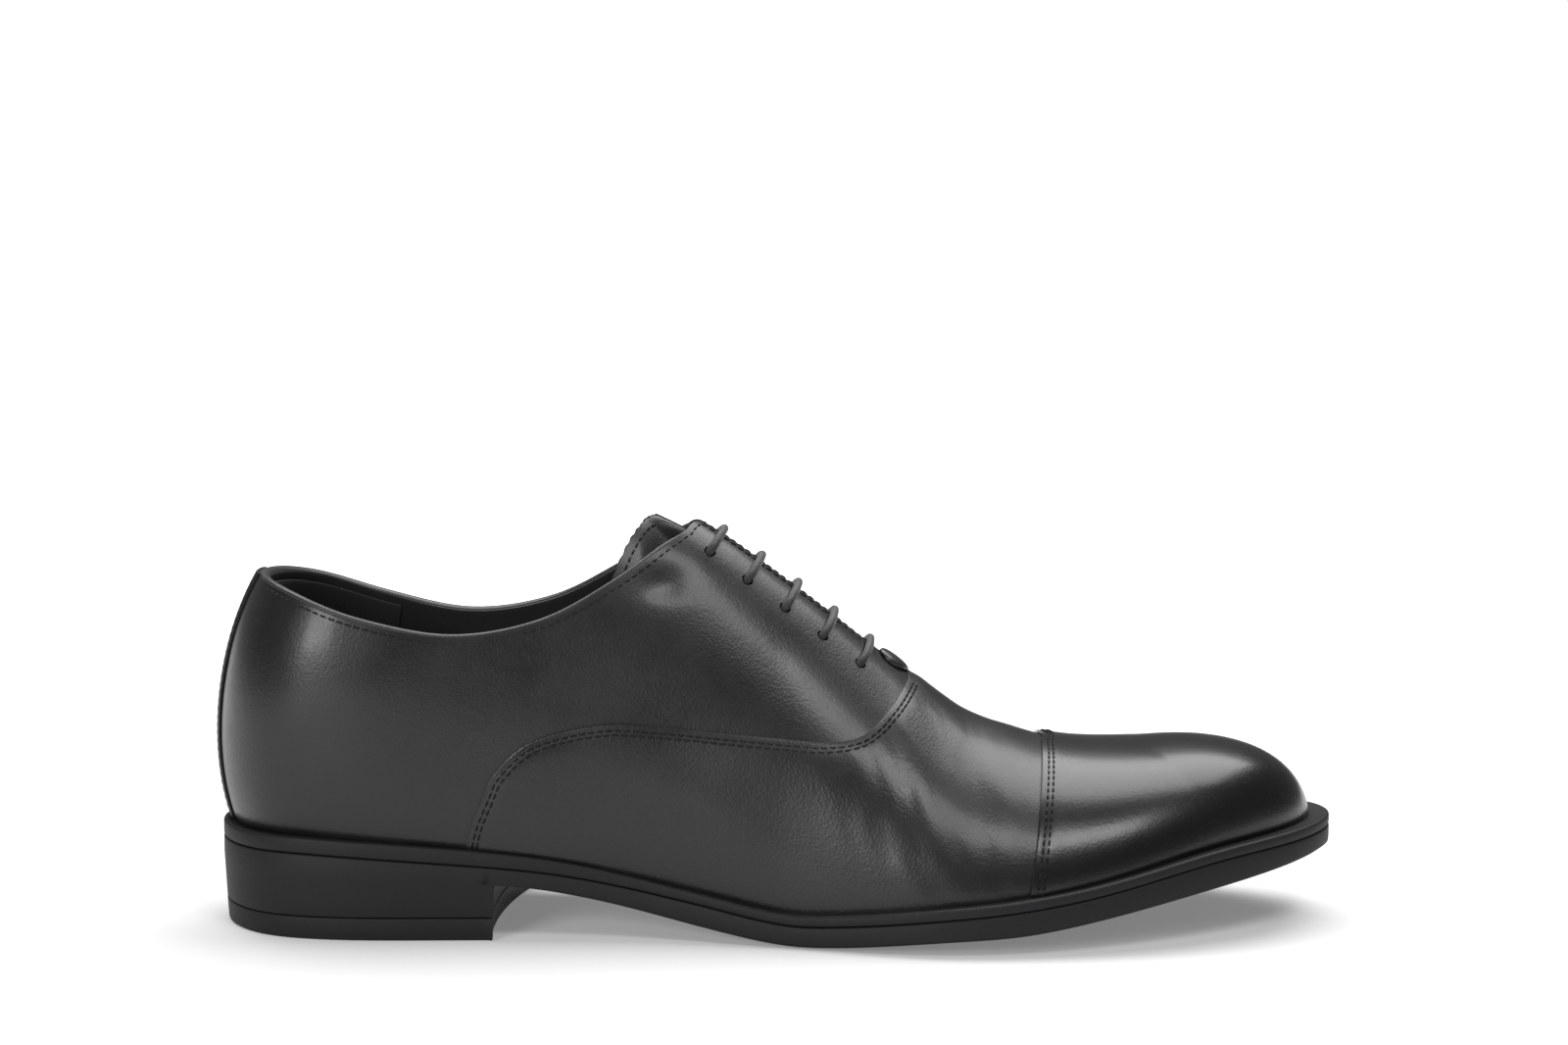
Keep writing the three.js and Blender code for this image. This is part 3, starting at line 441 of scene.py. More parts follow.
calf = leather_finish("polished_calf", (0.003, 0.003, 0.0035), (0.006, 0.006, 0.007), 0.3, 0.42, 0.12)
cap_calf = leather_finish("glossed_cap_calf", (0.0015, 0.0015, 0.002), (0.003, 0.003, 0.0035),
                          0.27, 0.3, 0.15, 0.2)
# The turned edge's finish is lighter than the calf: a painted highlight for the light caught by the narrow
# rounded edge.
painted_highlight_edge_calf = leather_finish("turned_edge_calf_painted_highlight", (0.006, 0.006, 0.007), (0.012, 0.012, 0.013),
                           0.4, 0.5, 0.1, 0.25)
lining_leather = leather_finish("lining_leather", (0.002, 0.002, 0.002), (0.004, 0.004, 0.004),
                                0.8, 0.9, 0.0, 0.3)
print("leathers:", calf.name, painted_highlight_edge_calf.name, lining_leather.name)

# %% [markdown]
# ### Suede, rubber, thread and what stays hidden
# Suede is the flesh side, so it gets a sheen and a short fuzzy bump. The sole is moulded rubber, matt and
# slightly pebbled. Thread and lace are twisted and braided yarn, which reads as a slanted ripple along the
# piece's own UV map. The pieces inside, such as board and cork, keep plain finishes of their own material.

# %% Suede, rubber and board
def noisy_finish(name, dark, light, roughness, scale, bump, distance, **sockets):
    finish = new_finish(name, dark, roughness, **sockets)
    texture = add_node(finish, "ShaderNodeTexNoise", Scale=scale, Detail=6.0, Roughness=0.65)
    finish.node_tree.links.new(object_coordinates(finish), texture.inputs["Vector"])
    share = spread(finish, texture.outputs["Fac"], 0.0, 1.0)
    shader_link(finish, tinted(finish, share, dark, light), "Base Color")
    rougher = spread(finish, texture.outputs["Fac"], roughness - 0.06, roughness + 0.06)
    shader_link(finish, rougher, "Roughness")
    shader_link(finish, add_bump(finish, texture.outputs["Fac"], bump, distance), "Normal")
    return finish


suede = noisy_finish("heel_suede", (0.003, 0.003, 0.003), (0.007, 0.007, 0.007), 0.95, 1800.0, 0.5, 0.0003,
                     Sheen_Weight=0.08, Sheen_Roughness=0.5)
rubber = noisy_finish("moulded_rubber", (0.003, 0.003, 0.0036), (0.006, 0.006, 0.0072), 0.6, 1100.0,
                      0.18, 0.0002, Specular_IOR_Level=0.3)
board = noisy_finish("pressed_board", (0.24, 0.16, 0.1), (0.34, 0.24, 0.15), 0.85, 300.0, 0.3, 0.0003)
cork = noisy_finish("granulated_cork", (0.3, 0.19, 0.09), (0.55, 0.38, 0.22), 0.9, 240.0, 0.6, 0.0006)
canvas = noisy_finish("interlining_canvas", (0.5, 0.47, 0.4), (0.66, 0.62, 0.54), 0.95, 900.0, 0.4, 0.0003)
stiffening = noisy_finish("thermoplastic_board", (0.55, 0.52, 0.45), (0.66, 0.63, 0.56), 0.55, 120.0,
                          0.1, 0.0002)
steel = noisy_finish("rolled_steel", (0.4, 0.41, 0.42), (0.58, 0.59, 0.6), 0.35, 500.0, 0.1, 0.0001,
                     Metallic=1.0)
black_eyelet = noisy_finish("enamelled_eyelet", (0.004, 0.004, 0.004), (0.008, 0.008, 0.008), 0.5, 900.0,
                            0.1, 0.0001)


# %% Thread and lace
def yarn_finish(name, dark, light, roughness, turns_around, turns_along, slant):
    """A ripple of twisted yarn along a piece's UV map: u round it, v along it."""
    finish = new_finish(name, dark, roughness, Sheen_Weight=0.15, Sheen_Roughness=0.4)
    links = finish.node_tree.links
    uv = add_node(finish, "ShaderNodeUVMap")
    ripples = []
    for way in slant:
        mapping = add_node(finish, "ShaderNodeMapping")
        mapping.inputs["Scale"].default_value = (turns_around, turns_along * way, 1)
        links.new(uv.outputs["UV"], mapping.inputs["Vector"])
        wave = add_node(finish, "ShaderNodeTexWave", wave_type="BANDS", bands_direction="DIAGONAL", Scale=1.0)
        links.new(mapping.outputs["Vector"], wave.inputs["Vector"])
        ripples.append(wave.outputs["Fac"])
    height = ripples[0]
    if len(ripples) > 1:
        weave = add_node(finish, "ShaderNodeMath", operation="MAXIMUM")
        for i, ripple in enumerate(ripples):
            links.new(ripple, weave.inputs[i])
        height = weave.outputs["Value"]
    shader_link(finish, tinted(finish, height, dark, light), "Base Color")
    shader_link(finish, add_bump(finish, height, 0.6, 0.0002), "Normal")
    return finish


lace_braid = yarn_finish("waxed_braid", (0.006, 0.006, 0.0065), (0.02, 0.02, 0.021), 0.5, 3.0, 420.0, (1, -1))
thread = new_finish("sewing_thread", (0.0015, 0.0015, 0.0015), 0.6, Specular_IOR_Level=0.25)
plastic_tip = new_finish("lace_tip", (0.01, 0.01, 0.01), 0.3)


def dress(piece, *finishes):
    piece.data.materials.clear()
    for finish in finishes:
        piece.data.materials.append(finish)


# %% Finishes on the CAD pieces that stay
HIDDEN_FINISHES = {
    canvas: ["vamp_interlining", "facing_stay_lateral", "facing_stay_medial"],
    stiffening: ["toe_puff", "heel_counter"],
    lining_leather: ["vamp_lining", "tongue_lining"],
    board: ["insole_board"],
    cork: ["bottom_filler"],
    steel: ["shank"] + [f"heel_nail_{i}" for i in range(1, 6)],
    black_eyelet: [f"eyelet_{side}_{i}" for side in ("lateral", "medial") for i in range(1, 6)],
}
for finish, names in HIDDEN_FINISHES.items():
    for name in names:
        node = bpy.data.objects[name]
        for slot in node.material_slots:
            slot.material = finish
print("CAD pieces dressed:", sum(len(names) for names in HIDDEN_FINISHES.values()))

# %% [markdown]
# ## A table of the skin
# Pieces are laid on the skin at many thousand points, so the loft is worked out once on a fine table of
# turns and ways. A point in between is blended from its four neighbours. The normals come from the table's
# own slopes.

# %% The table
TURNS, WAYS = 600, 300
skin_table = np.zeros((TURNS + 1, 2 * WAYS + 1, 3))
for i in range(TURNS + 1):
    for side in (LATERAL, MEDIAL):
        a, b, c, d = skin_curve(side, i / TURNS)
        t = np.linspace(0, 1, WAYS + 1)[:, None]
        curve = a * (1 - t) ** 3 + 3 * b * (1 - t) ** 2 * t + 3 * c * (1 - t) * t * t + d * t ** 3
        if side == LATERAL:
            skin_table[i, :WAYS + 1] = curve
        else:
            skin_table[i, WAYS:] = curve[::-1]
normal_table = np.cross(np.gradient(skin_table, axis=0), np.gradient(skin_table, axis=1))
normal_table /= np.maximum(np.linalg.norm(normal_table, axis=2, keepdims=True), 1e-9)


def blended(table, turn, way):
    column = np.clip((np.asarray(way) + 1) * WAYS, 0, 2 * WAYS - 1e-6)
    row = np.clip(np.asarray(turn) * TURNS, 0, TURNS - 1e-6)
    i, j = row.astype(int), column.astype(int)
    f, g = (row - i)[..., None], (column - j)[..., None]
    return ((table[i, j] * (1 - f) + table[i + 1, j] * f) * (1 - g)
            + (table[i, j + 1] * (1 - f) + table[i + 1, j + 1] * f) * g)


def skin_at(turn, way):
    return blended(skin_table, turn, way)


def normal_at(turn, way):
    normals = blended(normal_table, turn, way)
    return normals / np.linalg.norm(normals, axis=-1, keepdims=True)


print("skin table:", skin_table.shape)

# %% [markdown]
# ## Pattern lines on the last
# A pattern cutter draws the seams as the side view shows them. Each line here is a short list of points in
# that view, smoothed and then carried onto the skin as (turn, way) spots. Where a line runs round the whole
# shoe, the medial half mirrors the lateral one.

# %% Lines
TOPLINE = [(-6, 98.4), (10, 96.4), (21, 93.6), (42, 86.5), (66, 82), (89, 85.8), (108, 95.6), (123, 105.8),
           (131, 110.2), (138, 113.8)]
VAMP_SEAM = [(67, 12), (70, 28.5), (73.8, 38.3), (77.2, 45), (86.7, 53.1), (104.3, 57.4), (120.5, 57),
             (154.2, 53.7), (165, 52.9), (174.3, 54.2), (181.7, 59.9), (187.6, 66.3), (192.2, 71.5),
             (193.3, 83)]
CAP_TOP, CAP_BOTTOM, CAP_HEIGHT = 224.4, 217.7, 54.0
BINDING_DROP = 1.3
FACING_GAP = 1.6
FEATHER_TUCK = 0.5


def spline(points, steps):
    """A Catmull-Rom curve through the points."""
    made = []
    last = len(points) - 1
    for i in range(last):
        a, b, c, d = (np.array(points[min(max(i + k, 0), last)], float) for k in (-1, 0, 1, 2))
        for f in np.arange(steps) / steps:
            made.append(0.5 * (2 * b + (c - a) * f + (2 * a - 5 * b + 4 * c - d) * f * f
                               + (3 * b - a - 3 * c + d) * f ** 3))
    made.append(np.array(points[-1], float))
    return made


def way_at_height(side, turn, height):
    """The way at a turn where the skin passes a height, a number or a function of x."""
    lo, hi = 0.0, 1.0
    for _ in range(26):
        t = (lo + hi) / 2
        p = skin_point(side, turn, t)
        if p[2] < (height(p[0]) if callable(height) else height):
            lo = t
        else:
            hi = t
    return side * (1 - t)


def feather(side, turns):
    """Spots on the feather line, where the upper meets the welt."""
    return [(u, way_at_height(side, u, lambda x: welt_top(x) - FEATHER_TUCK)) for u in turns]


def off_centre(side, turn, distance):
    """The way at a turn that lies a distance from the shoe's middle plane."""
    ways = side * np.linspace(0, 0.6, 241)
    points = skin_at(np.full(241, turn), ways)
    return float(np.interp(distance, side * (points[:, 1] - swing(points[0, 0])), ways * side)) * side


def crest_turn(side, x):
    """The turn whose crest lies at x."""
    return float(np.interp(x, skin_table[:, WAYS, 0], np.arange(TURNS + 1) / TURNS))


def carried(side, line):
    """A side-view line as spots, cut off at the feather line and at the crest."""
    inside = [p for p in line if welt_top(p[0]) - FEATHER_TUCK < p[1] < crest_height(p[0]) - 0.6]
    return [find_spot(side, x, z) for x, z in inside]


def seam_spots(side, shift=0.0):
    line = [p + (shift, -shift) for p in spline(VAMP_SEAM, 8)]
    spots = carried(side, line)
    over = next(p for p in line[20:] if p[1] >= crest_height(p[0]) - 0.6)
    return feather(side, [spots[0][0]])[:1] + spots + [(crest_turn(side, over[0]), 0.0)]


def cap_spots(side, shift=0.0):
    foot = welt_top(CAP_BOTTOM) - FEATHER_TUCK
    heights = np.linspace(foot, crest_height(CAP_TOP) - 0.3, 24)
    at = lambda z: CAP_BOTTOM + shift + (CAP_TOP - CAP_BOTTOM) * (z - foot) / (CAP_HEIGHT - foot)
    spots = [find_spot(side, at(z), z) for z in heights[1:] if z < crest_height(at(z)) - 0.3]
    return feather(side, [spots[0][0]]) + spots + [(crest_turn(side, CAP_TOP + shift), 0.0)]


def topline_spots(side):
    line = [p - (0, BINDING_DROP) for p in spline(TOPLINE, 8)]
    height = lambda x: float(np.interp(x, [p[0] for p in line], [p[1] for p in line]))
    last = crest_turn(side, next(p[0] for p in line[40:] if p[1] > crest_height(p[0]) - 0.1))
    spots = [(u, way_at_height(side, u, height)) for u in np.linspace(0, last, 90)]
    stop = off_centre(side, last, FACING_GAP / 2)
    return [s for s in spots if abs(s[1]) > abs(stop)] + [(last, stop)]


def by_length(spots, share):
    """Spots at shares of a line's length."""
    spots = np.array(spots)
    points = skin_at(spots[:, 0], spots[:, 1])
    along = np.concatenate([[0], np.cumsum(np.linalg.norm(np.diff(points, axis=0), axis=1))])
    share = np.clip(share, 0, 1) * along[-1]
    return np.stack([np.interp(share, along, spots[:, 0]), np.interp(share, along, spots[:, 1])], -1)


def joined(*stretches):
    """A line made of stretches, each as (from, to, spots): its share of the whole, and where it runs."""
    def line(s):
        s = np.asarray(s, float)
        out = np.zeros(s.shape + (2,))
        for start, end, spots in stretches:
            here = (s >= start) & (s <= end)
            out[here] = by_length(spots, (s[here] - start) / (end - start))
        return out
    return line


def between(spots, x_from, x_to):
    """The stretch of a line between two stations, at exact ends."""
    spots = np.array(spots)
    xs = skin_at(spots[:, 0], spots[:, 1])[:, 0]
    order = np.maximum.accumulate(xs)
    keep = (order > x_from) & (order < x_to)
    end = lambda x: [np.interp(x, order, spots[:, 0]), np.interp(x, order, spots[:, 1])]
    return np.vstack([end(x_from), spots[keep], end(x_to)])


seams = {side: seam_spots(side) for side in (LATERAL, MEDIAL)}
hidden_seams = {side: seam_spots(side, 7.0) for side in (LATERAL, MEDIAL)}
toplines = {side: topline_spots(side) for side in (LATERAL, MEDIAL)}
print("seam spots:", len(seams[LATERAL]), "topline spots:", len(toplines[LATERAL]))

# %% [markdown]
# ## Laying a sheet on the last
# A flat grid is the natural start of a leather piece: it already has a pattern's two directions. It is added
# as a primitive, and each of its points is laid on the skin between two of the pattern's edges. Then it gets
# its thickness from Solidify, and Bevel rounds its cut edges as a trimming knife and a hot iron would.

# %% Lay, thicken, round
def choose(piece):
    bpy.ops.object.select_all(action="DESELECT")
    piece.select_set(True)
    bpy.context.view_layer.objects.active = piece


def flat_grid(name, columns, rows):
    """A grid from (0, 0) to (1, 1) that is yet to be shaped."""
    bpy.ops.object.select_all(action="DESELECT")
    bpy.ops.mesh.primitive_grid_add(x_subdivisions=columns, y_subdivisions=rows, size=1, location=(0, 0, 0))
    piece = bpy.context.object
    piece.name = piece.data.name = name
    flat = np.empty(3 * len(piece.data.vertices))
    piece.data.vertices.foreach_get("co", flat)
    flat = flat.reshape(-1, 3)[:, :2] + 0.5
    return piece, np.clip(flat, 0, 1)


def set_points(piece, points):
    """Points of the shoe, in its own millimetres, become the piece's vertices."""
    placed = (np.asarray(points) + (SHIFT_X, SHIFT_Y, 0)) * MM
    piece.data.vertices.foreach_set("co", placed.ravel())
    piece.data.update()


def tidy_mesh(piece, doubles=0.02):
    """Doubles are merged, and every face is turned outwards."""
    choose(piece)
    bpy.ops.object.mode_set(mode="EDIT")
    bpy.ops.mesh.select_all(action="SELECT")
    bpy.ops.mesh.remove_doubles(threshold=doubles * MM)
    bpy.ops.mesh.normals_make_consistent(inside=False)
    bpy.ops.object.mode_set(mode="OBJECT")


def turn_faces_out(piece, outward):
    """An open sheet is flipped if its middle face looks against the given direction."""
    faces = piece.data.polygons
    votes = sum(faces[i].normal.dot(outward(faces[i].center)) > 0 for i in range(0, len(faces), 97))
    if votes * 2 < len(range(0, len(faces), 97)):
        piece.data.flip_normals()


def apply_modifier(piece, kind, **settings):
    choose(piece)
    modifier = piece.modifiers.new(kind.lower(), kind)
    for key, value in settings.items():
        setattr(modifier, key, value)
    bpy.ops.object.modifier_apply(modifier=modifier.name)


def smooth(piece, degrees=40):
    choose(piece)
    bpy.ops.object.shade_smooth_by_angle(angle=math.radians(degrees))


def give_thickness(piece, thickness, rounding=0.3, segments=2):
    apply_modifier(piece, "SOLIDIFY", thickness=thickness * MM, offset=-1)
    apply_modifier(piece, "BEVEL", width=rounding * MM, segments=segments, limit_method="ANGLE",
                   angle_limit=math.radians(50))
    smooth(piece)


def laid_sheet(name, line_a, line_b, columns, rows, depth, thickness, rounding=0.3, relief=None,
               doubles=0.03):
    """A sheet between two lines on the last; its depth is a number, or a function of the points."""
    piece, flat = flat_grid(name, columns, rows)
    s, t = flat[:, 0], flat[:, 1]
    a, b = line_a(s), line_b(s)
    spots = a * (1 - t[:, None]) + b * t[:, None]
    base, normals = skin_at(spots[:, 0], spots[:, 1]), normal_at(spots[:, 0], spots[:, 1])
    depths = depth(base) if callable(depth) else np.full(len(base), float(depth))
    if relief:
        depths = depths + relief(base)
    set_points(piece, base + normals * depths[:, None])
    choose(piece)
    bpy.ops.object.mode_set(mode="EDIT")
    bpy.ops.mesh.select_all(action="SELECT")
    bpy.ops.mesh.remove_doubles(threshold=doubles * MM)
    bpy.ops.object.mode_set(mode="OBJECT")
    centre = place(140, 2, 40)
    turn_faces_out(piece, lambda p: p - Vector((p.x * 0.8, centre.y, centre.z)))
    give_thickness(piece, thickness, rounding)
    return piece


def hand_over(piece, body, slot, finish, *nodes):
    """The piece gets its finish, moves with its body and stands for its CAD nodes."""
    dress(piece, finish)
    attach(piece, body)
    if nodes:
        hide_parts(*nodes)
    print(piece.name, len(piece.data.polygons), "faces")


def nearest(points, line_points):
    """The distance from each point to a line's points."""
    best = np.full(len(points), 1e9)
    for start in range(0, len(points), 4000):
        part = points[start:start + 4000]
        gaps = np.linalg.norm(part[:, None] - line_points[None], axis=2)
        best[start:start + 4000] = gaps.min(1)
    return best


def dense(line, steps=500):
    spots = line(np.linspace(0, 1, steps))
    return skin_at(spots[:, 0], spots[:, 1])

# %% [markdown]
# ## How leather moves
# Calf never stays as even as the last: it draws into soft hollows beside the laces, and it creases across
# the ball where the foot bends. A displacement texture could do this, but seeded noise added to each
# point's depth follows the piece and stays the same each run.

# %% Hollows and creases
CALF = 1.15
QUARTER_DEPTH, VAMP_DEPTH, CAP_DEPTH = 0.0, 1.3, 2.6
SKIVED = 0.45


def soft_hollows(points, scale=0.035, height=0.35, seed=3.0):
    return np.array([height * noise.noise((x * scale + seed, y * scale, z * scale)) for x, y, z in points])


def ball_creases(points):
    """Fine creases across the vamp, deepest over the ball and gone at the welt."""
    out = np.zeros(len(points))
    for k, (x, y, z) in enumerate(points):
        strength = smooth_step(x, 150, 180) * (1 - smooth_step(x, 205, 222))
        if strength <= 0:
            continue
        wander = 5.0 * noise.noise((x * 0.02, y * 0.04, z * 0.05 + 7))
        ridge = noise.noise(((x + wander + 0.35 * z) * 0.16, y * 0.025, z * 0.03 + 2))
        fine = noise.noise(((x + wander + 0.35 * z) * 0.42, y * 0.05, z * 0.06 + 11))
        out[k] = strength * (0.3 * ridge - 0.12 * abs(fine))
    return out


def facing_dent(points):
    """A small hollow that the lacing pulls into the quarter, under the facing's top corner."""
    gap = np.linalg.norm((points - (121.5, -20, 94)) * (0.09, 0.05, 0.13), axis=1)
    return -0.9 * np.exp(-gap * gap * 3)


def skived(edge, depth, skive=SKIVED, reach=5.0):
    """An outer depth that falls towards a pared edge."""
    def at(points):
        gap = nearest(points, edge)
        return depth - skive * np.exp(-(gap / reach * 2) ** 2)
    return at


# %% [markdown]
# ## The quarters
# The two quarters are the sides of the shoe: they start at the back seam, run under the vamp, and meet over
# the tongue as the facings. Each is one sheet between its lower line (the feather line, then the seam that
# the vamp hides) and its upper line (the topline, then the facing's edge).

# %% Quarters
def quarter_lines(side):
    low_start = [(u, way_at_height(side, u, lambda x: welt_top(x) - FEATHER_TUCK))
                 for u in np.linspace(0, turn_of(78), 40)]
    hidden = np.array(hidden_seams[side])
    xs = skin_at(hidden[:, 0], hidden[:, 1])[:, 0]
    hidden = hidden[(xs > 80)]
    top = np.array(toplines[side])
    end_turn = crest_turn(side, 190.5)
    facing = [(u, off_centre(side, u, FACING_GAP / 2)) for u in np.linspace(top[-1][0], end_turn, 60)]
    lower = joined((0, 0.3, low_start), (0.3, 0.34, [low_start[-1], tuple(hidden[0])]),
                   (0.34, 0.46, between(hidden, skin_at(*hidden[0])[0] + 0.01, 106)),
                   (0.46, 0.64, between(hidden, 106, 140)),
                   (0.64, 1, np.vstack([between(hidden, 140, 187), [facing[-1]]])))
    upper = joined((0, 0.34, between(top, skin_at(*top[0])[0] + 0.01, 80)),
                   (0.34, 0.64, np.vstack([between(top, 80, 131), [top[-1]]])), (0.64, 1, facing))
    return lower, upper


for name, side in (("quarter_lateral", LATERAL), ("quarter_medial", MEDIAL)):
    lower, upper = quarter_lines(side)
    relief = lambda p: soft_hollows(p, 0.03, 0.45) + (facing_dent(p) if side == LATERAL else 0)
    piece = laid_sheet(name + "_leather", lower, upper, 190, 70, QUARTER_DEPTH, CALF, 0.3, relief)
    hand_over(piece, "shoe", "calf", calf, name)

# %% [markdown]
# ## The vamp
# The vamp covers the front of the foot and laps over both quarters. Its rear edge is pared thin so that the
# lap makes no step on the foot, and it is stitched down with two rows. The sheet runs from that edge down to
# the feather line and forwards under the toe cap.

# %% Vamp
def both_sides(half):
    """A line round the whole shoe from one half's line, lateral first."""
    def line(s):
        s = np.asarray(s, float)
        first = half(LATERAL)(np.minimum(s, 0.5) * 2)
        second = half(MEDIAL)(np.minimum(1 - s, 0.5) * 2)
        return np.where((s <= 0.5)[:, None], first, second)
    return line


def seam_line(side):
    seam = np.array(seams[side])
    start = skin_at(*seam[0])[0] + 0.01
    return joined((0, 0.3, between(seam, start, 92)), (0.3, 0.72, between(seam, 92, 168)),
                  (0.72, 1, np.vstack([between(seam, 168, 190), [seam[-1]]])))


def vamp_front_line(side):
    edge = np.array(cap_spots(side, 8.0))
    begin = float(np.array(seams[side])[0][0])
    toes = feather(side, np.linspace(begin, edge[0][0], 80))
    return joined((0, 0.3, between(toes, skin_at(*toes[0])[0] + 0.01, 112)),
                  (0.3, 0.72, np.vstack([between(toes, 112, 222), [edge[0]]])), (0.72, 1, edge))


vamp_edge = dense(both_sides(seam_line))
piece = laid_sheet("vamp_leather", both_sides(seam_line), both_sides(vamp_front_line), 300, 60,
                   skived(vamp_edge, VAMP_DEPTH), CALF, 0.3,
                   lambda p: soft_hollows(p, 0.035, 0.3, 9.0) + ball_creases(p))
hand_over(piece, "shoe", "calf", calf, "vamp")

# %% [markdown]
# ## The toe cap
# A straight cap crosses the toes and laps over the vamp. At the tip all its rows run together, so the sheet's
# last points are merged into one smooth seamless toe.

# %% Toe cap
def cap_line(side):
    return joined((0, 1, cap_spots(side)))


def tip_line(side):
    last = way_at_height(side, 1.0, lambda x: welt_top(x) - FEATHER_TUCK)
    turns = [(1.0, w) for w in np.linspace(last, 0, 40)]
    start = cap_spots(side)[0][0]
    rim = feather(side, np.linspace(start, 1.0, 60))
    return joined((0, 0.6, rim), (0.6, 1, turns))


cap_edge = dense(both_sides(cap_line))
piece = laid_sheet("toe_cap_leather", both_sides(cap_line), both_sides(tip_line), 220, 80,
                   skived(cap_edge, CAP_DEPTH), CALF, 0.3, lambda p: soft_hollows(p, 0.04, 0.15, 5.0), 0.15)
hand_over(piece, "shoe", "calf", cap_calf, "toe_cap")

# %% [markdown]
# ## The back strip
# A narrow strip covers the seam at the back of the heel, from the welt to the topline. It is a band laid
# across both quarters, pared along its two edges.

# %% Back strip
STRIP_HALF = 6.5


def strip_line(side):
    top = np.array(toplines[side])
    foot = way_at_height(side, 0.02, lambda x: welt_top(x) - FEATHER_TUCK)
    def at(s):
        way = foot + (top[0][1] - foot) * np.asarray(s)
        turns = np.linspace(0, 0.12, 60)
        turn = np.array([np.interp(STRIP_HALF, side * skin_at(turns, np.full(60, w))[:, 1], turns)
                         for w in way])
        return np.stack([turn, way], -1)
    return at


def strip_sheet():
    piece, flat = flat_grid("back_strip_leather", 24, 70)
    across, up = flat[:, 0] * 2 - 1, flat[:, 1]
    points = np.zeros((len(flat), 3))
    for side in (LATERAL, MEDIAL):
        here = (across <= 0) if side == LATERAL else (across > 0)
        edge = strip_line(side)(up[here])
        turn = edge[:, 0] * np.abs(across[here])
        depth = 1.25 - 0.5 * np.abs(across[here]) ** 6
        points[here] = skin_at(turn, edge[:, 1]) + normal_at(turn, edge[:, 1]) * depth[:, None]
    set_points(piece, points)
    turn_faces_out(piece, lambda p: Vector((-1, 0, 0)))
    give_thickness(piece, 1.1, 0.3)
    return piece


hand_over(strip_sheet(), "shoe", "calf", calf, "back_strip")

# %% [markdown]
# ## The sole
# The sole is four layers of moulded rubber: the welt that the upper is stitched to, the outsole, the heel
# block and the top lift. Each is a closed body with soft edges. A grid is wrapped round the sole's outline:
# its columns go round the edge and its rows follow the layer's section, from the middle of one face, over the
# edge, to the middle of the other.

# %% Wrapped bodies
WELT_SEAM = lambda x: welt_top(x) - (WELT_HEEL + (WELT_FOREPART - WELT_HEEL) * smooth_step(x, 40, 150))
HEEL_BREAST, BREAST_CURVE, BREAST_SKEW, LIFT = 77.0, 2.6, 6.5, 6.2


def sole_outline(count=420):
    """Points round the sole's edge, each with its outward direction and the middle line's point."""
    made = []
    for k in range(count):
        q = 2 * k / count
        side, u = (LATERAL, q) if q <= 1 else (MEDIAL, 2 - q)
        u = min(max(u, 0.0005), 0.9995)
        (x, y), out = inset_edge(side, u, 0)
        middle = (sole_edge(LATERAL, u)[1] + sole_edge(MEDIAL, u)[1]) / 2
        made.append((x, y, out[0], out[1], x, middle))
    return made


def heel_outline():
    """The heel's edge: round the back between the two corners, then the hollow breast."""
    points = [sole_edge(LATERAL, u) for u in np.linspace(turn_of(HEEL_BREAST), 0, 90)]
    points += [sole_edge(MEDIAL, u) for u in np.linspace(0, turn_of(HEEL_BREAST + BREAST_SKEW), 90)[1:]]
    (x0, y0), (x1, y1) = points[-1], points[0]
    hollow = (HEEL_BREAST - BREAST_CURVE, 0)
    for f in np.linspace(0, 1, 40)[1:-1]:
        points.append(tuple((1 - f) ** 2 * a + 2 * f * (1 - f) * h + f * f * b
                            for a, h, b in ((x0, hollow[0], x1), (y0, hollow[1], y1))))
    made = []
    for k, (x, y) in enumerate(points):
        ax, ay = points[k - 1]
        bx, by = points[(k + 1) % len(points)]
        length = math.hypot(bx - ax, by - ay)
        made.append((x, y, -(by - ay) / length, (bx - ax) / length, 38.0, 0.0))
    return made


def wrapped_body(name, outline, rows, ring=False):
    """Rows are (share of the way out from the middle, inset from the edge, height); each may follow x."""
    value = lambda v, x: v(x) if callable(v) else v
    piece, flat = flat_grid(name, len(outline), len(rows) - (0 if ring else 1))
    points = np.zeros((len(flat), 3))
    cache = {}
    for k, (across, up) in enumerate(flat):
        column = round(across * len(outline)) % len(outline)
        key = (column, round(up * (len(rows) - (0 if ring else 1))) % len(rows))
        if key not in cache:
            x, y, ox, oy, mx, my = outline[key[0]]
            share, inset, height = rows[key[1]]
            inset = value(inset, x)
            px, py = x - ox * inset, y - oy * inset
            mx = min(max(mx, inset), SOLE_LENGTH - inset)
            px, py = mx + (px - mx) * share, my + (py - my) * share
            cache[key] = (px, py, value(height, px) if share else value(height, mx))
        points[k] = cache[key]
    set_points(piece, points)
    tidy_mesh(piece, 0.01)
    return piece


# %% [markdown]
# ### Welt
# The welt stands a few millimetres proud of the upper. Its top edge has a small rounded lip, which catches
# the light as a thin line, and a fine groove parts it from the outsole.

# %% Welt
LIP = 0.22
above_seam = lambda lift: (lambda x: WELT_SEAM(x) + lift)
below_top = lambda drop: (lambda x: welt_top(x) - drop)
welt_rows = [(1, 12, below_top(0.1)), (1, 3.2, below_top(0.1)), (1, 1.7, below_top(0)),
             (1, 1.15, below_top(-LIP)),
             (1, 0.65, below_top(-LIP)), (1, 0.2, below_top(0.08)), (1, 0, below_top(0.5)),
             (1, 0, above_seam(0.75)), (1, 0.1, above_seam(0.42)), (1, 0.42, above_seam(0.16)),
             (1, 12, above_seam(0.1))]
piece = wrapped_body("welt_strip", sole_outline(), welt_rows, ring=True)
smooth(piece, 60)
hand_over(piece, "shoe", "rubber", rubber, "welt")

# %% [markdown]
# ### Outsole
# Ahead of the heel the outsole's lower edge is rounded and its tread hangs a little below its edge. Over the
# heel its side runs straight into the heel block without a line, so the rounding fades out there.

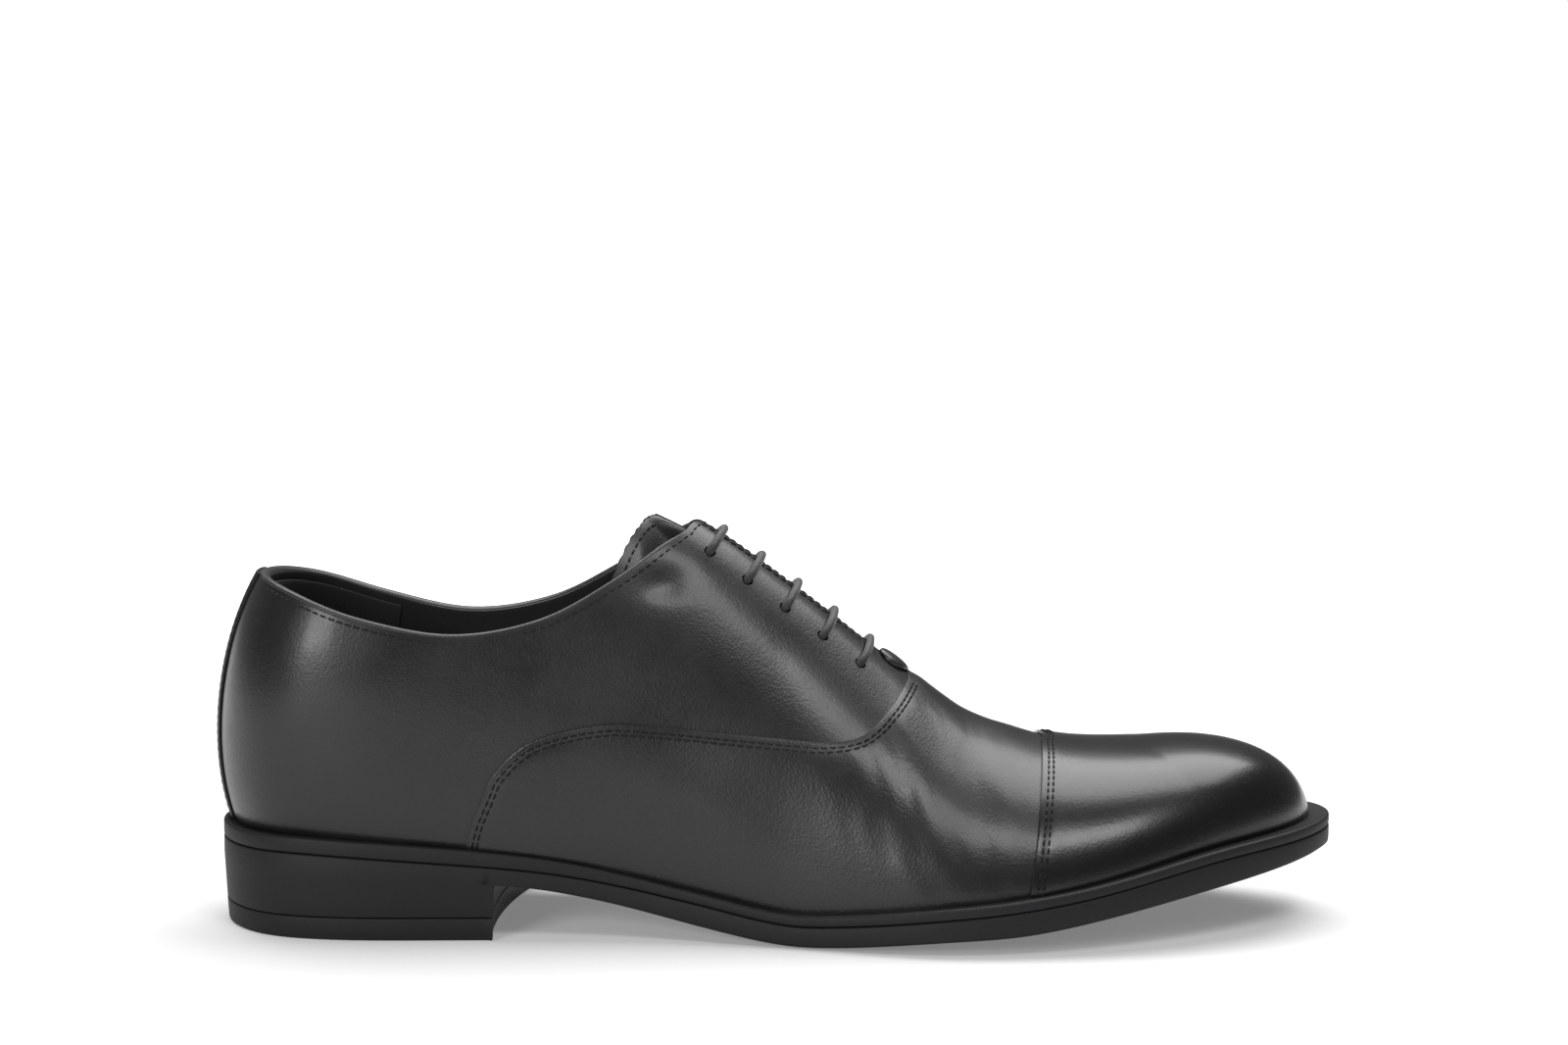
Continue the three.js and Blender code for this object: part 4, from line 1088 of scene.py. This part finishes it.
# %% Outsole
def tread(share):
    return lambda x: max(outsole_edge(x) - OUTSOLE_CROWN * smooth_step(x, 77, 130) * (1 - share * share), 0)


free_edge = lambda amount: (lambda x: amount * smooth_step(x, 74, 96))
edge_up = lambda lift: (lambda x: outsole_edge(x) + lift * smooth_step(x, 74, 96))
down = lambda drop: (lambda x: WELT_SEAM(x) - drop)
outsole_rows = [(0, 0, tread(0)), (0.3, 0, tread(0.3)), (0.6, 0, tread(0.6)), (0.85, 0, tread(0.85)),
                (1, free_edge(1.2), edge_up(0)), (1, free_edge(0.5), edge_up(0.18)),
                 (1, free_edge(0.12), edge_up(0.55)),
                (1, 0, edge_up(1.1)), (1, 0, down(0.55)), (1, 0.12, down(0.22)), (1, 0.5, down(0.02)),
                 (0.85, 0, down(0)),
                (0.4, 0, down(0)), (0, 0, down(0))]
piece = wrapped_body("outsole_slab", sole_outline(), outsole_rows)
smooth(piece, 50)
hand_over(piece, "shoe", "rubber", rubber, "outsole")

# %% [markdown]
# ### Heel block and top lift
# The heel narrows slightly towards the ground. The block's upper edge meets the outsole flush; between the
# block and the top lift runs a fine groove, and the lift's wearing edge is barely rounded.

# %% Heel block and top lift
from_outsole = lambda share: (lambda x: LIFT + 0.5 + (outsole_edge(x) - LIFT - 0.5) * share)
block_rows = [(0, 0, from_outsole(1)), (0.9, 0, from_outsole(1)), (1, 0.0, from_outsole(1)),
              (1, 0.2, from_outsole(0.66)),
              (1, 0.4, from_outsole(0.33)), (1, 0.6, from_outsole(0)), (1, 0.68, LIFT + 0.25),
              (1, 1.0, LIFT + 0.08),
              (0.9, 0, LIFT + 0.06), (0, 0, LIFT + 0.06)]
piece = wrapped_body("heel_block_stack", heel_outline(), block_rows)
smooth(piece, 35)
hand_over(piece, "shoe", "rubber", rubber, "heel_block")

lift_rows = [(0, 0, LIFT - 0.02), (0.9, 0, LIFT - 0.02), (1, 1.0, LIFT - 0.04), (1, 0.7, LIFT - 0.2),
             (1, 0.62, LIFT - 0.5),
             (1, 0.8, 2.5), (1, 0.95, 0.7), (1, 1.1, 0.25), (1, 1.5, 0.02), (0.9, 0, 0.0), (0, 0, 0.0)]
piece = wrapped_body("top_lift_tread", heel_outline(), lift_rows)
smooth(piece, 35)
hand_over(piece, "shoe", "rubber", rubber, "top_lift")

# %% [markdown]
# ## Inside the shoe
# Looking in at the collar one sees the lining leather of the quarters, a suede grip round the heel that
# stops the foot from slipping, and the sock liner on the insole. They are sheets on the same last, a little
# further in.

# %% Quarter linings
def lining_lines(side):
    top = np.array(toplines[side])
    low_part = [(u, way_at_height(side, u, lambda x: welt_top(x) + 3.4))
                for u in np.linspace(0, turn_of(128), 50)]
    inner_edge = [low_part[-1], find_spot(side, 134, 50), find_spot(side, 176, 54),
                  (crest_turn(side, 184), off_centre(side, crest_turn(side, 184), 8))]
    facing = [(u, off_centre(side, u, FACING_GAP / 2))
              for u in np.linspace(top[-1][0], crest_turn(side, 185), 40)]
    lower = joined((0, 0.6, low_part), (0.6, 1, inner_edge))
    upper = joined((0, 0.62, top), (0.62, 1, facing))
    return lower, upper


for name, side in (("quarter_lining_lateral", LATERAL), ("quarter_lining_medial", MEDIAL)):
    lower, upper = lining_lines(side)
    piece = laid_sheet(name + "_sheet", lower, upper, 110, 44, -1.7, 1.3, 0.25)
    hand_over(piece, "shoe", "lining", lining_leather, name)


# %% Heel grip
def band_round_heel(name, reach_x, low_height, high_line, depth, thickness, columns, rows):
    """A band across the back of the heel, to a station on both sides."""
    piece, flat = flat_grid(name, columns, rows)
    across, up = flat[:, 0] * 2 - 1, flat[:, 1]
    points = np.zeros((len(flat), 3))
    reach = turn_of(reach_x)
    for side in (LATERAL, MEDIAL):
        here = (across <= 0) if side == LATERAL else (across > 0)
        turns = np.abs(across[here]) * reach
        sample = np.linspace(0, reach, 30)
        low_ways = [way_at_height(side, u, low_height) for u in sample]
        high_ways = [way_at_height(side, u, high_line) for u in sample]
        ways = (np.interp(turns, sample, low_ways) * (1 - up[here])
                + np.interp(turns, sample, high_ways) * up[here])
        points[here] = skin_at(turns, ways) + normal_at(turns, ways) * depth
    set_points(piece, points)
    turn_faces_out(piece, lambda p: Vector((p.x + 0.1, p.y, 0)))
    give_thickness(piece, thickness, 0.25)
    return piece


line = spline(TOPLINE, 8)
topline_height = lambda x: float(np.interp(x, [p[0] for p in line], [p[1] for p in line]))
grip = band_round_heel("heel_grip_suede", 40, 33.0, lambda x: topline_height(x) - 3.2, -3.25, 0.8, 60, 40)
hand_over(grip, "shoe", "suede", suede, "heel_grip")

# %% Sock liner
inside_wall = lambda x: setback(x) + 2.4 - 0.22 * lean(x)
sock = lambda lift: (lambda x: welt_top(x) + 0.3 + 2.4 + 0.3 + lift)
sock_rows = [(0, inside_wall, sock(0)), (0.9, inside_wall, sock(0)), (1, inside_wall, sock(0)),
             (1, lambda x: inside_wall(x) - 0.15, sock(0.3)), (1, lambda x: inside_wall(x) - 0.15, sock(0.7)),
             (1, inside_wall, sock(0.95)), (1, lambda x: inside_wall(x) + 0.4, sock(1.0)),
             (0.8, inside_wall, sock(1.0)), (0.4, inside_wall, sock(1.0)), (0, inside_wall, sock(1.0))]
piece = wrapped_body("sock_liner_leather", sole_outline(240), sock_rows)
smooth(piece, 50)
hand_over(piece, "shoe", "lining", lining_leather, "sock_liner")

# %% [markdown]
# ## Tubes along a path
# The turned topline edge, the lace and its tips are all a section swept along a path. A curve with a bevel
# could do it, but a grid wrapped round the path keeps a clean UV map for the braid, u round it and v along
# it.

# %% Wrapping a tube
def centripetal(points, steps):
    """A centripetal Catmull-Rom curve, which never loops between close points."""
    points = [np.array(p, float) for p in points]
    points = [2 * points[0] - points[1]] + points + [2 * points[-1] - points[-2]]
    made = []
    for i in range(1, len(points) - 2):
        p0, p1, p2, p3 = points[i - 1:i + 3]
        t1 = np.linalg.norm(p1 - p0) ** 0.5 or 1e-6
        t2 = t1 + (np.linalg.norm(p2 - p1) ** 0.5 or 1e-6)
        t3 = t2 + (np.linalg.norm(p3 - p2) ** 0.5 or 1e-6)
        for t in t1 + (t2 - t1) * np.arange(steps) / steps:
            a1 = (t1 - t) / t1 * p0 + t / t1 * p1
            a2 = (t2 - t) / (t2 - t1) * p1 + (t - t1) / (t2 - t1) * p2
            a3 = (t3 - t) / (t3 - t2) * p2 + (t - t2) / (t3 - t2) * p3
            b1 = (t2 - t) / t2 * a1 + t / t2 * a2
            b2 = (t3 - t) / (t3 - t1) * a2 + (t - t1) / (t3 - t1) * a3
            made.append((t2 - t) / (t2 - t1) * b1 + (t - t1) / (t2 - t1) * b2)
    made.append(points[-2])
    return np.array(made)


def tube(name, path, sides, half_width, half_height=None, face=None, taper=0):
    """A closed tube; face gives each path point's outward direction, across which the width is measured."""
    half_height = half_height or half_width
    path = np.asarray(path, float)
    count = len(path)
    ends = 3
    piece, flat = flat_grid(name, sides, count - 1 + 2 * ends)
    tangents = np.gradient(path, axis=0)
    tangents /= np.linalg.norm(tangents, axis=1, keepdims=True)
    if face is None:
        up = np.array((0.3, 0.2, 1.0))
        frames = []
        for tangent in tangents:
            up = up - tangent * up.dot(tangent)
            up /= np.linalg.norm(up)
            frames.append(up)
        face = np.array(frames)
    across = np.cross(tangents, face)
    across /= np.linalg.norm(across, axis=1, keepdims=True)
    face = np.cross(across, tangents)
    rows = np.round(flat[:, 1] * (count - 1 + 2 * ends)).astype(int) - ends
    at = np.clip(rows, 0, count - 1)
    past = np.maximum(np.maximum(-rows, rows - (count - 1)), 0) / ends
    size = np.sqrt(np.maximum(1 - past ** 2, 0))
    if taper:
        size = size * np.minimum(1, 0.35 + np.minimum(at, count - 1 - at) / taper)
    reach = np.where(rows < 0, -past, np.where(rows > count - 1, past, 0)) * half_height
    angle = 2 * np.pi * flat[:, 0]
    points = (path[at] + across[at] * (np.cos(angle) * size * half_height)[:, None]
              + face[at] * (np.sin(angle) * size * half_width)[:, None] + tangents[at] * reach[:, None])
    set_points(piece, points)
    tidy_mesh(piece, 0.005)
    smooth(piece, 60)
    return piece


# %% [markdown]
# ## Topline
# The raw edges of quarter and lining are turned into each other and pressed, which leaves a narrow rounded
# edge round the collar. Its finish is paler than the polished leather: a painted highlight, a lighter colour
# standing for the light that the rounded edge catches.

# %% Turned topline edge
def collar_path():
    points, faces = [], []
    for side in (LATERAL, MEDIAL):
        last = turn_of(131)
        turns = np.linspace(0, last, 110)
        spots = [(u, way_at_height(side, u, lambda x: topline_height(x) - 1.25)) for u in turns]
        stop = off_centre(side, last, 1.6)
        spots = np.array([s for s in spots if abs(s[1]) > abs(stop)])
        half = skin_at(spots[:, 0], spots[:, 1]) + normal_at(spots[:, 0], spots[:, 1]) * -1.35
        normal = normal_at(spots[:, 0], spots[:, 1])
        points.append(half[::-1] if side == LATERAL else half[1:])
        faces.append(normal[::-1] if side == LATERAL else normal[1:])
    return np.vstack(points), np.vstack(faces)


path, faces = collar_path()
piece = tube("topline_turned_edge", path, 14, 1.55, 0.95, face=faces, taper=6)
hand_over(piece, "shoe", "binding", painted_highlight_edge_calf, "topline_binding")

# %% [markdown]
# ## Tongue
# The tongue lies under the facings and ends in a hollowed top with a pinked edge, cut with fine teeth. It
# hangs on its lower seam, so it rides on the tongue's own body.

# %% Tongue
TONGUE_TOP, TONGUE_DIP, TONGUE_BASE, HALF_TOP, HALF_BASE = 107.0, 14.5, 186.0, 21.5, 14.0
TOOTH = 2.1


def tongue_depth(x, y=20.0):
    """It lies close under the facings, and dips under the hidden lace on both sides of the ridge."""
    aside = smooth_step(abs(y), 3, 8)
    sink = aside * smooth_step(x, 116, 130) + (1 - aside) * smooth_step(x, 128, 140)
    return -(3.75 + (7.45 - 3.75) * sink)


def tongue_spot(x, y):
    side = LATERAL if y <= 0 else MEDIAL
    turn = crest_turn(side, x)
    return turn, off_centre(side, turn, abs(y)) if abs(y) > 0.01 else 0.0


def tongue_top(y):
    return TONGUE_TOP + TONGUE_DIP * (1 - (abs(y) / HALF_TOP) ** 1.4)


def tongue_sheet():
    piece, flat = flat_grid("tongue_leather", 132, 70)
    points = np.zeros((len(flat), 3))
    for k, (across, along) in enumerate(flat):
        q = across * 2 - 1
        y = q * (HALF_TOP + (HALF_BASE - HALF_TOP) * along)
        tooth = 0.45 * (2 * abs((y / TOOTH) % 1 - 0.5) - 0.5) * (1 if along < 0.001 else 0)
        start = tongue_top(y) + tooth
        x = start + (TONGUE_BASE - start) * along ** 1.2
        turn, way = tongue_spot(x, y)
        points[k] = on_skin(turn, way, tongue_depth(x, y))
    set_points(piece, points)
    turn_faces_out(piece, lambda p: Vector((0, 0, 1)))
    give_thickness(piece, 1.3, 0.2)
    return piece


piece = tongue_sheet()
hand_over(piece, "tongue", "calf", calf, "tongue")

# %% [markdown]
# ## Throat tab
# A small oval tab closes the throat, where the facings end on the vamp. It is pressed into a low pillow, so a
# sphere flattened onto the slope of the crest gives its form.

# %% Throat tab
TAB_X, TAB_LENGTH, TAB_BREADTH, TAB_RISE = 183.7, 7.4, 10.0, 1.5
bpy.ops.object.select_all(action="DESELECT")
bpy.ops.mesh.primitive_uv_sphere_add(segments=48, ring_count=24, radius=1, location=(0, 0, 0))
tab = bpy.context.object
tab.name = tab.data.name = "throat_tab_oval"
tab_points = []
for vertex in tab.data.vertices:
    x, y, z = vertex.co
    body = math.copysign(abs(z) ** 0.7, z)
    foot_x, foot_y = TAB_X + x * TAB_LENGTH / 2, y * TAB_BREADTH / 2
    turn, way = tongue_spot(foot_x, foot_y)
    tab_points.append(on_skin(turn, way, 0.6 + body * TAB_RISE))
set_points(tab, tab_points)
smooth(tab, 60)
hand_over(tab, "shoe", "calf", calf, "throat_tab")

# %% [markdown]
# ## Lace
# A round waxed lace is tied in the closed, straight-bar way: five bars lie over the facings, and between
# them the lace runs hidden underneath. Both ends go down inside the shoe. The route is the real one, eyelet
# by eyelet, so the bars leave their holes at the right slant.

# %% Route
EYELETS, EYELET_TOP, EYELET_STEP = 5, (133.8, 101.6), (10.13, -7.5)
LACE_RADIUS, GAP, HOLE_RADIUS = 1.15, 0.3, 1.65
OVER = LACE_RADIUS + GAP
UNDER = -(3.2 + 0.7 + 0.4 + GAP + LACE_RADIUS)
RIDGE_UP = np.array((-EYELET_STEP[1], EYELET_STEP[0])) / math.hypot(*EYELET_STEP)


def eyelet_place(row):
    return EYELET_TOP[0] + row * EYELET_STEP[0], EYELET_TOP[1] + row * EYELET_STEP[1]


def from_side(side, x, z, depth):
    return on_skin(*find_spot(side, x, z), depth)


def across_ridge(side, row, share, depth):
    x, z = eyelet_place(row)
    top = x
    for _ in range(20):
        top = x + RIDGE_UP[0] / RIDGE_UP[1] * (crest_height(top) - z)
    if share >= 1:
        return on_skin(crest_turn(side, top), 0.0, depth)
    return from_side(side, x + share * (top - x), z + share * (crest_height(top) - z), depth)


def bar(row, start):
    rise_of = lambda side: [across_ridge(side, row, share, depth) for share, depth in
                            ((0, -2.4), (0.02, -0.5), (0.1, 0.7), (0.25, OVER), (0.6, OVER))]
    return rise_of(start) + [across_ridge(start, row, 1, OVER)] + rise_of(-start)[::-1]


def inner_run(side, start, end, aside):
    count = abs(end - start) * 2
    (x0, z0), (x1, z1) = eyelet_place(start), eyelet_place(end)
    points = [from_side(side, x0, z0, UNDER + 1.2)]
    for i in range(count + 1):
        f = 0.12 / count + (1 - 0.24 / count) * i / count
        swerve = aside * math.sin(math.pi * f) ** 0.6
        x = x0 + (x1 - x0) * f + RIDGE_UP[0] * swerve
        z = z0 + (z1 - z0) * f + RIDGE_UP[1] * swerve
        points.append(from_side(side, x, z, UNDER))
    return points + [from_side(side, x1, z1, UNDER + 1.2)]


def tail(side, row):
    x, z = eyelet_place(row)
    points = [from_side(side, x, z, UNDER + 1.2)]
    for i, (dx, dz) in enumerate(((1.2, 3), (3, 12), (6, 26), (10, 42))):
        points.append(from_side(side, x - dx, z - dz, -3.2 - LACE_RADIUS - 0.9 if i else UNDER))
    for i, station in enumerate((112, 102, 92, 82, 72, 62, 52)):
        wall = setback(station) + 3.2 + 1.3 + LACE_RADIUS + 0.6
        (px, py), _ = inset_edge(side, turn_of(station), wall)
        lift = 0.3 + 2.4 + 0.3 + 1.0 + LACE_RADIUS + GAP + (0 if i else 3)
        points.append(np.array((px, py, welt_top(px) + lift)))
    return points


ASIDE = 2 * LACE_RADIUS + GAP
lace_points = (tail(LATERAL, 1)[::-1] + bar(1, LATERAL) + inner_run(MEDIAL, 1, 3, -ASIDE) + bar(3, MEDIAL)
               + inner_run(LATERAL, 3, 4, 0) + bar(4, LATERAL) + inner_run(MEDIAL, 4, 2, ASIDE)
               + bar(2, MEDIAL)
               + inner_run(LATERAL, 2, 0, ASIDE) + bar(0, LATERAL) + tail(MEDIAL, 0))
lace_path = centripetal(lace_points, 7)
lace_length = float(np.linalg.norm(np.diff(lace_path, axis=0), axis=1).sum())
print("lace length, mm:", round(lace_length))

# %% Lace and tips
lace = tube("waxed_lace", lace_path, 12, LACE_RADIUS)
hand_over(lace, "shoe", "lace", lace_braid, "shoelace")
for name, end, before in (("aglet_1", lace_path[0], lace_path[1]), ("aglet_2", lace_path[-1], lace_path[-2])):
    away = (end - before) / np.linalg.norm(end - before)
    tip_path = [end + away * (GAP + 18 * f) for f in np.linspace(0, 1, 12)]
    tip = tube(name + "_tip", tip_path, 16, 1.35)
    hand_over(tip, "shoe", "lace", plastic_tip, name)

# %% [markdown]
# ## Eyelet holes
# The eyelets are blind: outside there is only a clean punched hole. Cylinders across the skin are subtracted
# from both quarters and their linings with a Boolean modifier, which cuts the same hole through both.

# %% Punch
def punches(side, radius):
    made = []
    for row in range(EYELETS):
        spot = find_spot(side, *eyelet_place(row))
        axis = Vector(skin_normal(side, *(spot[0], 1 - abs(spot[1]))))
        centre = place(*on_skin(*spot, -1.2))
        bpy.ops.object.select_all(action="DESELECT")
        bpy.ops.mesh.primitive_cylinder_add(vertices=28, radius=radius * MM, depth=8 * MM, location=centre,
                                            rotation=axis.to_track_quat("Z", "Y").to_euler())
        made.append(bpy.context.object)
    bpy.ops.object.select_all(action="DESELECT")
    for punch in made:
        punch.select_set(True)
    bpy.context.view_layer.objects.active = made[0]
    bpy.ops.object.join()
    return made[0]


for name, side in (("lateral", LATERAL), ("medial", MEDIAL)):
    punch = punches(side, HOLE_RADIUS)
    for punched in (f"quarter_{name}_leather", f"quarter_lining_{name}_sheet"):
        piece = bpy.data.objects[punched]
        before = len(piece.data.polygons)
        apply_modifier(piece, "BOOLEAN", object=punch, operation="DIFFERENCE", solver="EXACT")
        print(piece.name, "punched:", before, "to", len(piece.data.polygons), "faces")
    bpy.data.objects.remove(punch, do_unlink=True)

# %% [markdown]
# ## Stitching
# The rows of stitches tell a sewn shoe from a moulded one. One stitch is modelled once: a small rounded grain
# of thread, a few dozen faces. It is then copied along each row at the machine's stitch length, with both
# ends dipping into the leather, and each row becomes one piece.

# %% One stitch
bpy.ops.object.select_all(action="DESELECT")
bpy.ops.mesh.primitive_uv_sphere_add(segments=8, ring_count=5, radius=0.5, location=(0, 0, 0))
one_stitch = bpy.context.object
stitch_points = np.array([v.co[:] for v in one_stitch.data.vertices])
stitch_faces = [tuple(p.vertices) for p in one_stitch.data.polygons]
bpy.data.objects.remove(one_stitch, do_unlink=True)
bow = 0.35
stitch_points = np.stack([stitch_points[:, 2], stitch_points[:, 0], stitch_points[:, 1]], 1)


def sew(name, spots, depth, body="shoe", pitch=2.35, share=0.84, width=0.62, height=0.5):
    """A row of stitches along a line of spots; depth may differ from point to point."""
    spots = np.asarray(spots, float)
    dense_share = np.linspace(0, 1, 1200)
    run = by_length(spots, dense_share)
    normals = normal_at(run[:, 0], run[:, 1])
    base = skin_at(run[:, 0], run[:, 1])
    levels = depth(base) if callable(depth) else np.full(len(base), float(depth))
    path = base + normals * levels[:, None]
    along = np.concatenate([[0], np.cumsum(np.linalg.norm(np.diff(path, axis=0), axis=1))])
    count = max(int(along[-1] / pitch), 1)
    points, faces = [], []
    for k in range(count):
        middle = (k + 0.5) * along[-1] / count
        at = np.array([np.interp(middle, along, path[:, c]) for c in range(3)])
        i = min(np.searchsorted(along, middle), len(path) - 2)
        tangent = path[min(i + 3, len(path) - 1)] - path[max(i - 3, 0)]
        tangent /= np.linalg.norm(tangent)
        normal = normals[i] - tangent * normals[i].dot(tangent)
        normal /= np.linalg.norm(normal)
        sideways = np.cross(normal, tangent)
        local = stitch_points * (pitch * share, width, height)
        lift = 0.12 - bow * (2 * local[:, 0] / (pitch * share)) ** 4 * 0.3
        faces += [tuple(v + len(points) * len(stitch_points) for v in face) for face in stitch_faces]
        points.append(at + local[:, :1] * tangent + local[:, 1:2] * sideways
                      + (local[:, 2:] + lift[:, None]) * normal)
    mesh = bpy.data.meshes.new(name)
    mesh.from_pydata([tuple((p + (SHIFT_X, SHIFT_Y, 0)) * MM) for p in np.vstack(points)], [], faces)
    row = bpy.data.objects.new(name, mesh)
    bpy.context.scene.collection.objects.link(row)
    tidy_mesh(row, 0.001)
    choose(row)
    bpy.ops.object.shade_smooth()
    hand_over(row, body, "calf", thread)
    return row


def beside(spots, distance):
    """A line of spots moved sideways within the skin; positive is to its left, seen from outside."""
    spots = np.asarray(spots, float)
    spots = by_length(spots, np.linspace(0, 1, 300))
    step = 1e-3
    base = skin_at(spots[:, 0], spots[:, 1])
    by_turn = (skin_at(spots[:, 0] + step, spots[:, 1]) - base) / step
    by_way = (skin_at(spots[:, 0], spots[:, 1] + step) - base) / step
    tangent = np.gradient(base, axis=0)
    tangent /= np.linalg.norm(tangent, axis=1, keepdims=True)
    offset = np.cross(normal_at(spots[:, 0], spots[:, 1]), tangent) * distance
    a, b, c = (by_turn ** 2).sum(1), (by_turn * by_way).sum(1), (by_way ** 2).sum(1)
    p, q = (by_turn * offset).sum(1), (by_way * offset).sum(1)
    det = np.maximum(a * c - b * b, 1e-6)
    return spots + np.stack([(c * p - b * q) / det, (a * q - b * p) / det], 1)


# %% Rows on the toe cap, the vamp and the facings
round_cap = both_sides(cap_line)(np.linspace(0, 1, 400))
for name, distance in (("cap_stitching_front", 3.1), ("cap_stitching_rear", 1.7)):
    sew(name, beside(round_cap, -distance), skived(cap_edge, CAP_DEPTH))
for label, side in (("lateral", LATERAL), ("medial", MEDIAL)):
    seam = np.array(seams[side])
    for name, distance in (("vamp_stitching_outer", 1.6), ("vamp_stitching_inner", 2.8)):
        sew(f"{name}_{label}", beside(seam, side * distance)[2:-14], skived(vamp_edge, VAMP_DEPTH))
    start = toplines[side][-1][0]
    facing = [(u, off_centre(side, u, FACING_GAP / 2)) for u in np.linspace(start, crest_turn(side, 183), 80)]
    sew(f"facing_stitching_{label}", beside(facing, side * 2.4), 0.0)
    collar = [s for s in toplines[side] if s[0] > turn_of(4.5)]
    sew(f"topline_stitching_{label}", beside(collar, side * 1.7), 0.0)
    strip = strip_line(side)(np.linspace(0.02, 0.97, 60))
    strip[:, 0] *= 0.8
    sew(f"back_strip_stitching_{label}", strip, lambda p: np.full(len(p), 0.95), pitch=2.2, height=0.3)

# %% Rows on the tongue
tongue_row = [tongue_spot(tongue_top(y) + 2.6, y) for y in np.linspace(-HALF_TOP + 1.5, HALF_TOP - 1.5, 60)]
sew("tongue_stitching", tongue_row, lambda p: np.array([tongue_depth(x) for x in p[:, 0]]), body="tongue")

# %% [markdown]
# ## Finish
# The visual model's box is kept beside the CAD model's, so that the two can be compared.

# %% Boxes, and the end
as_lists = lambda box: [list(corner) for corner in box]
{"cad": as_lists(CAD_BOX), "visual": as_lists(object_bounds())}
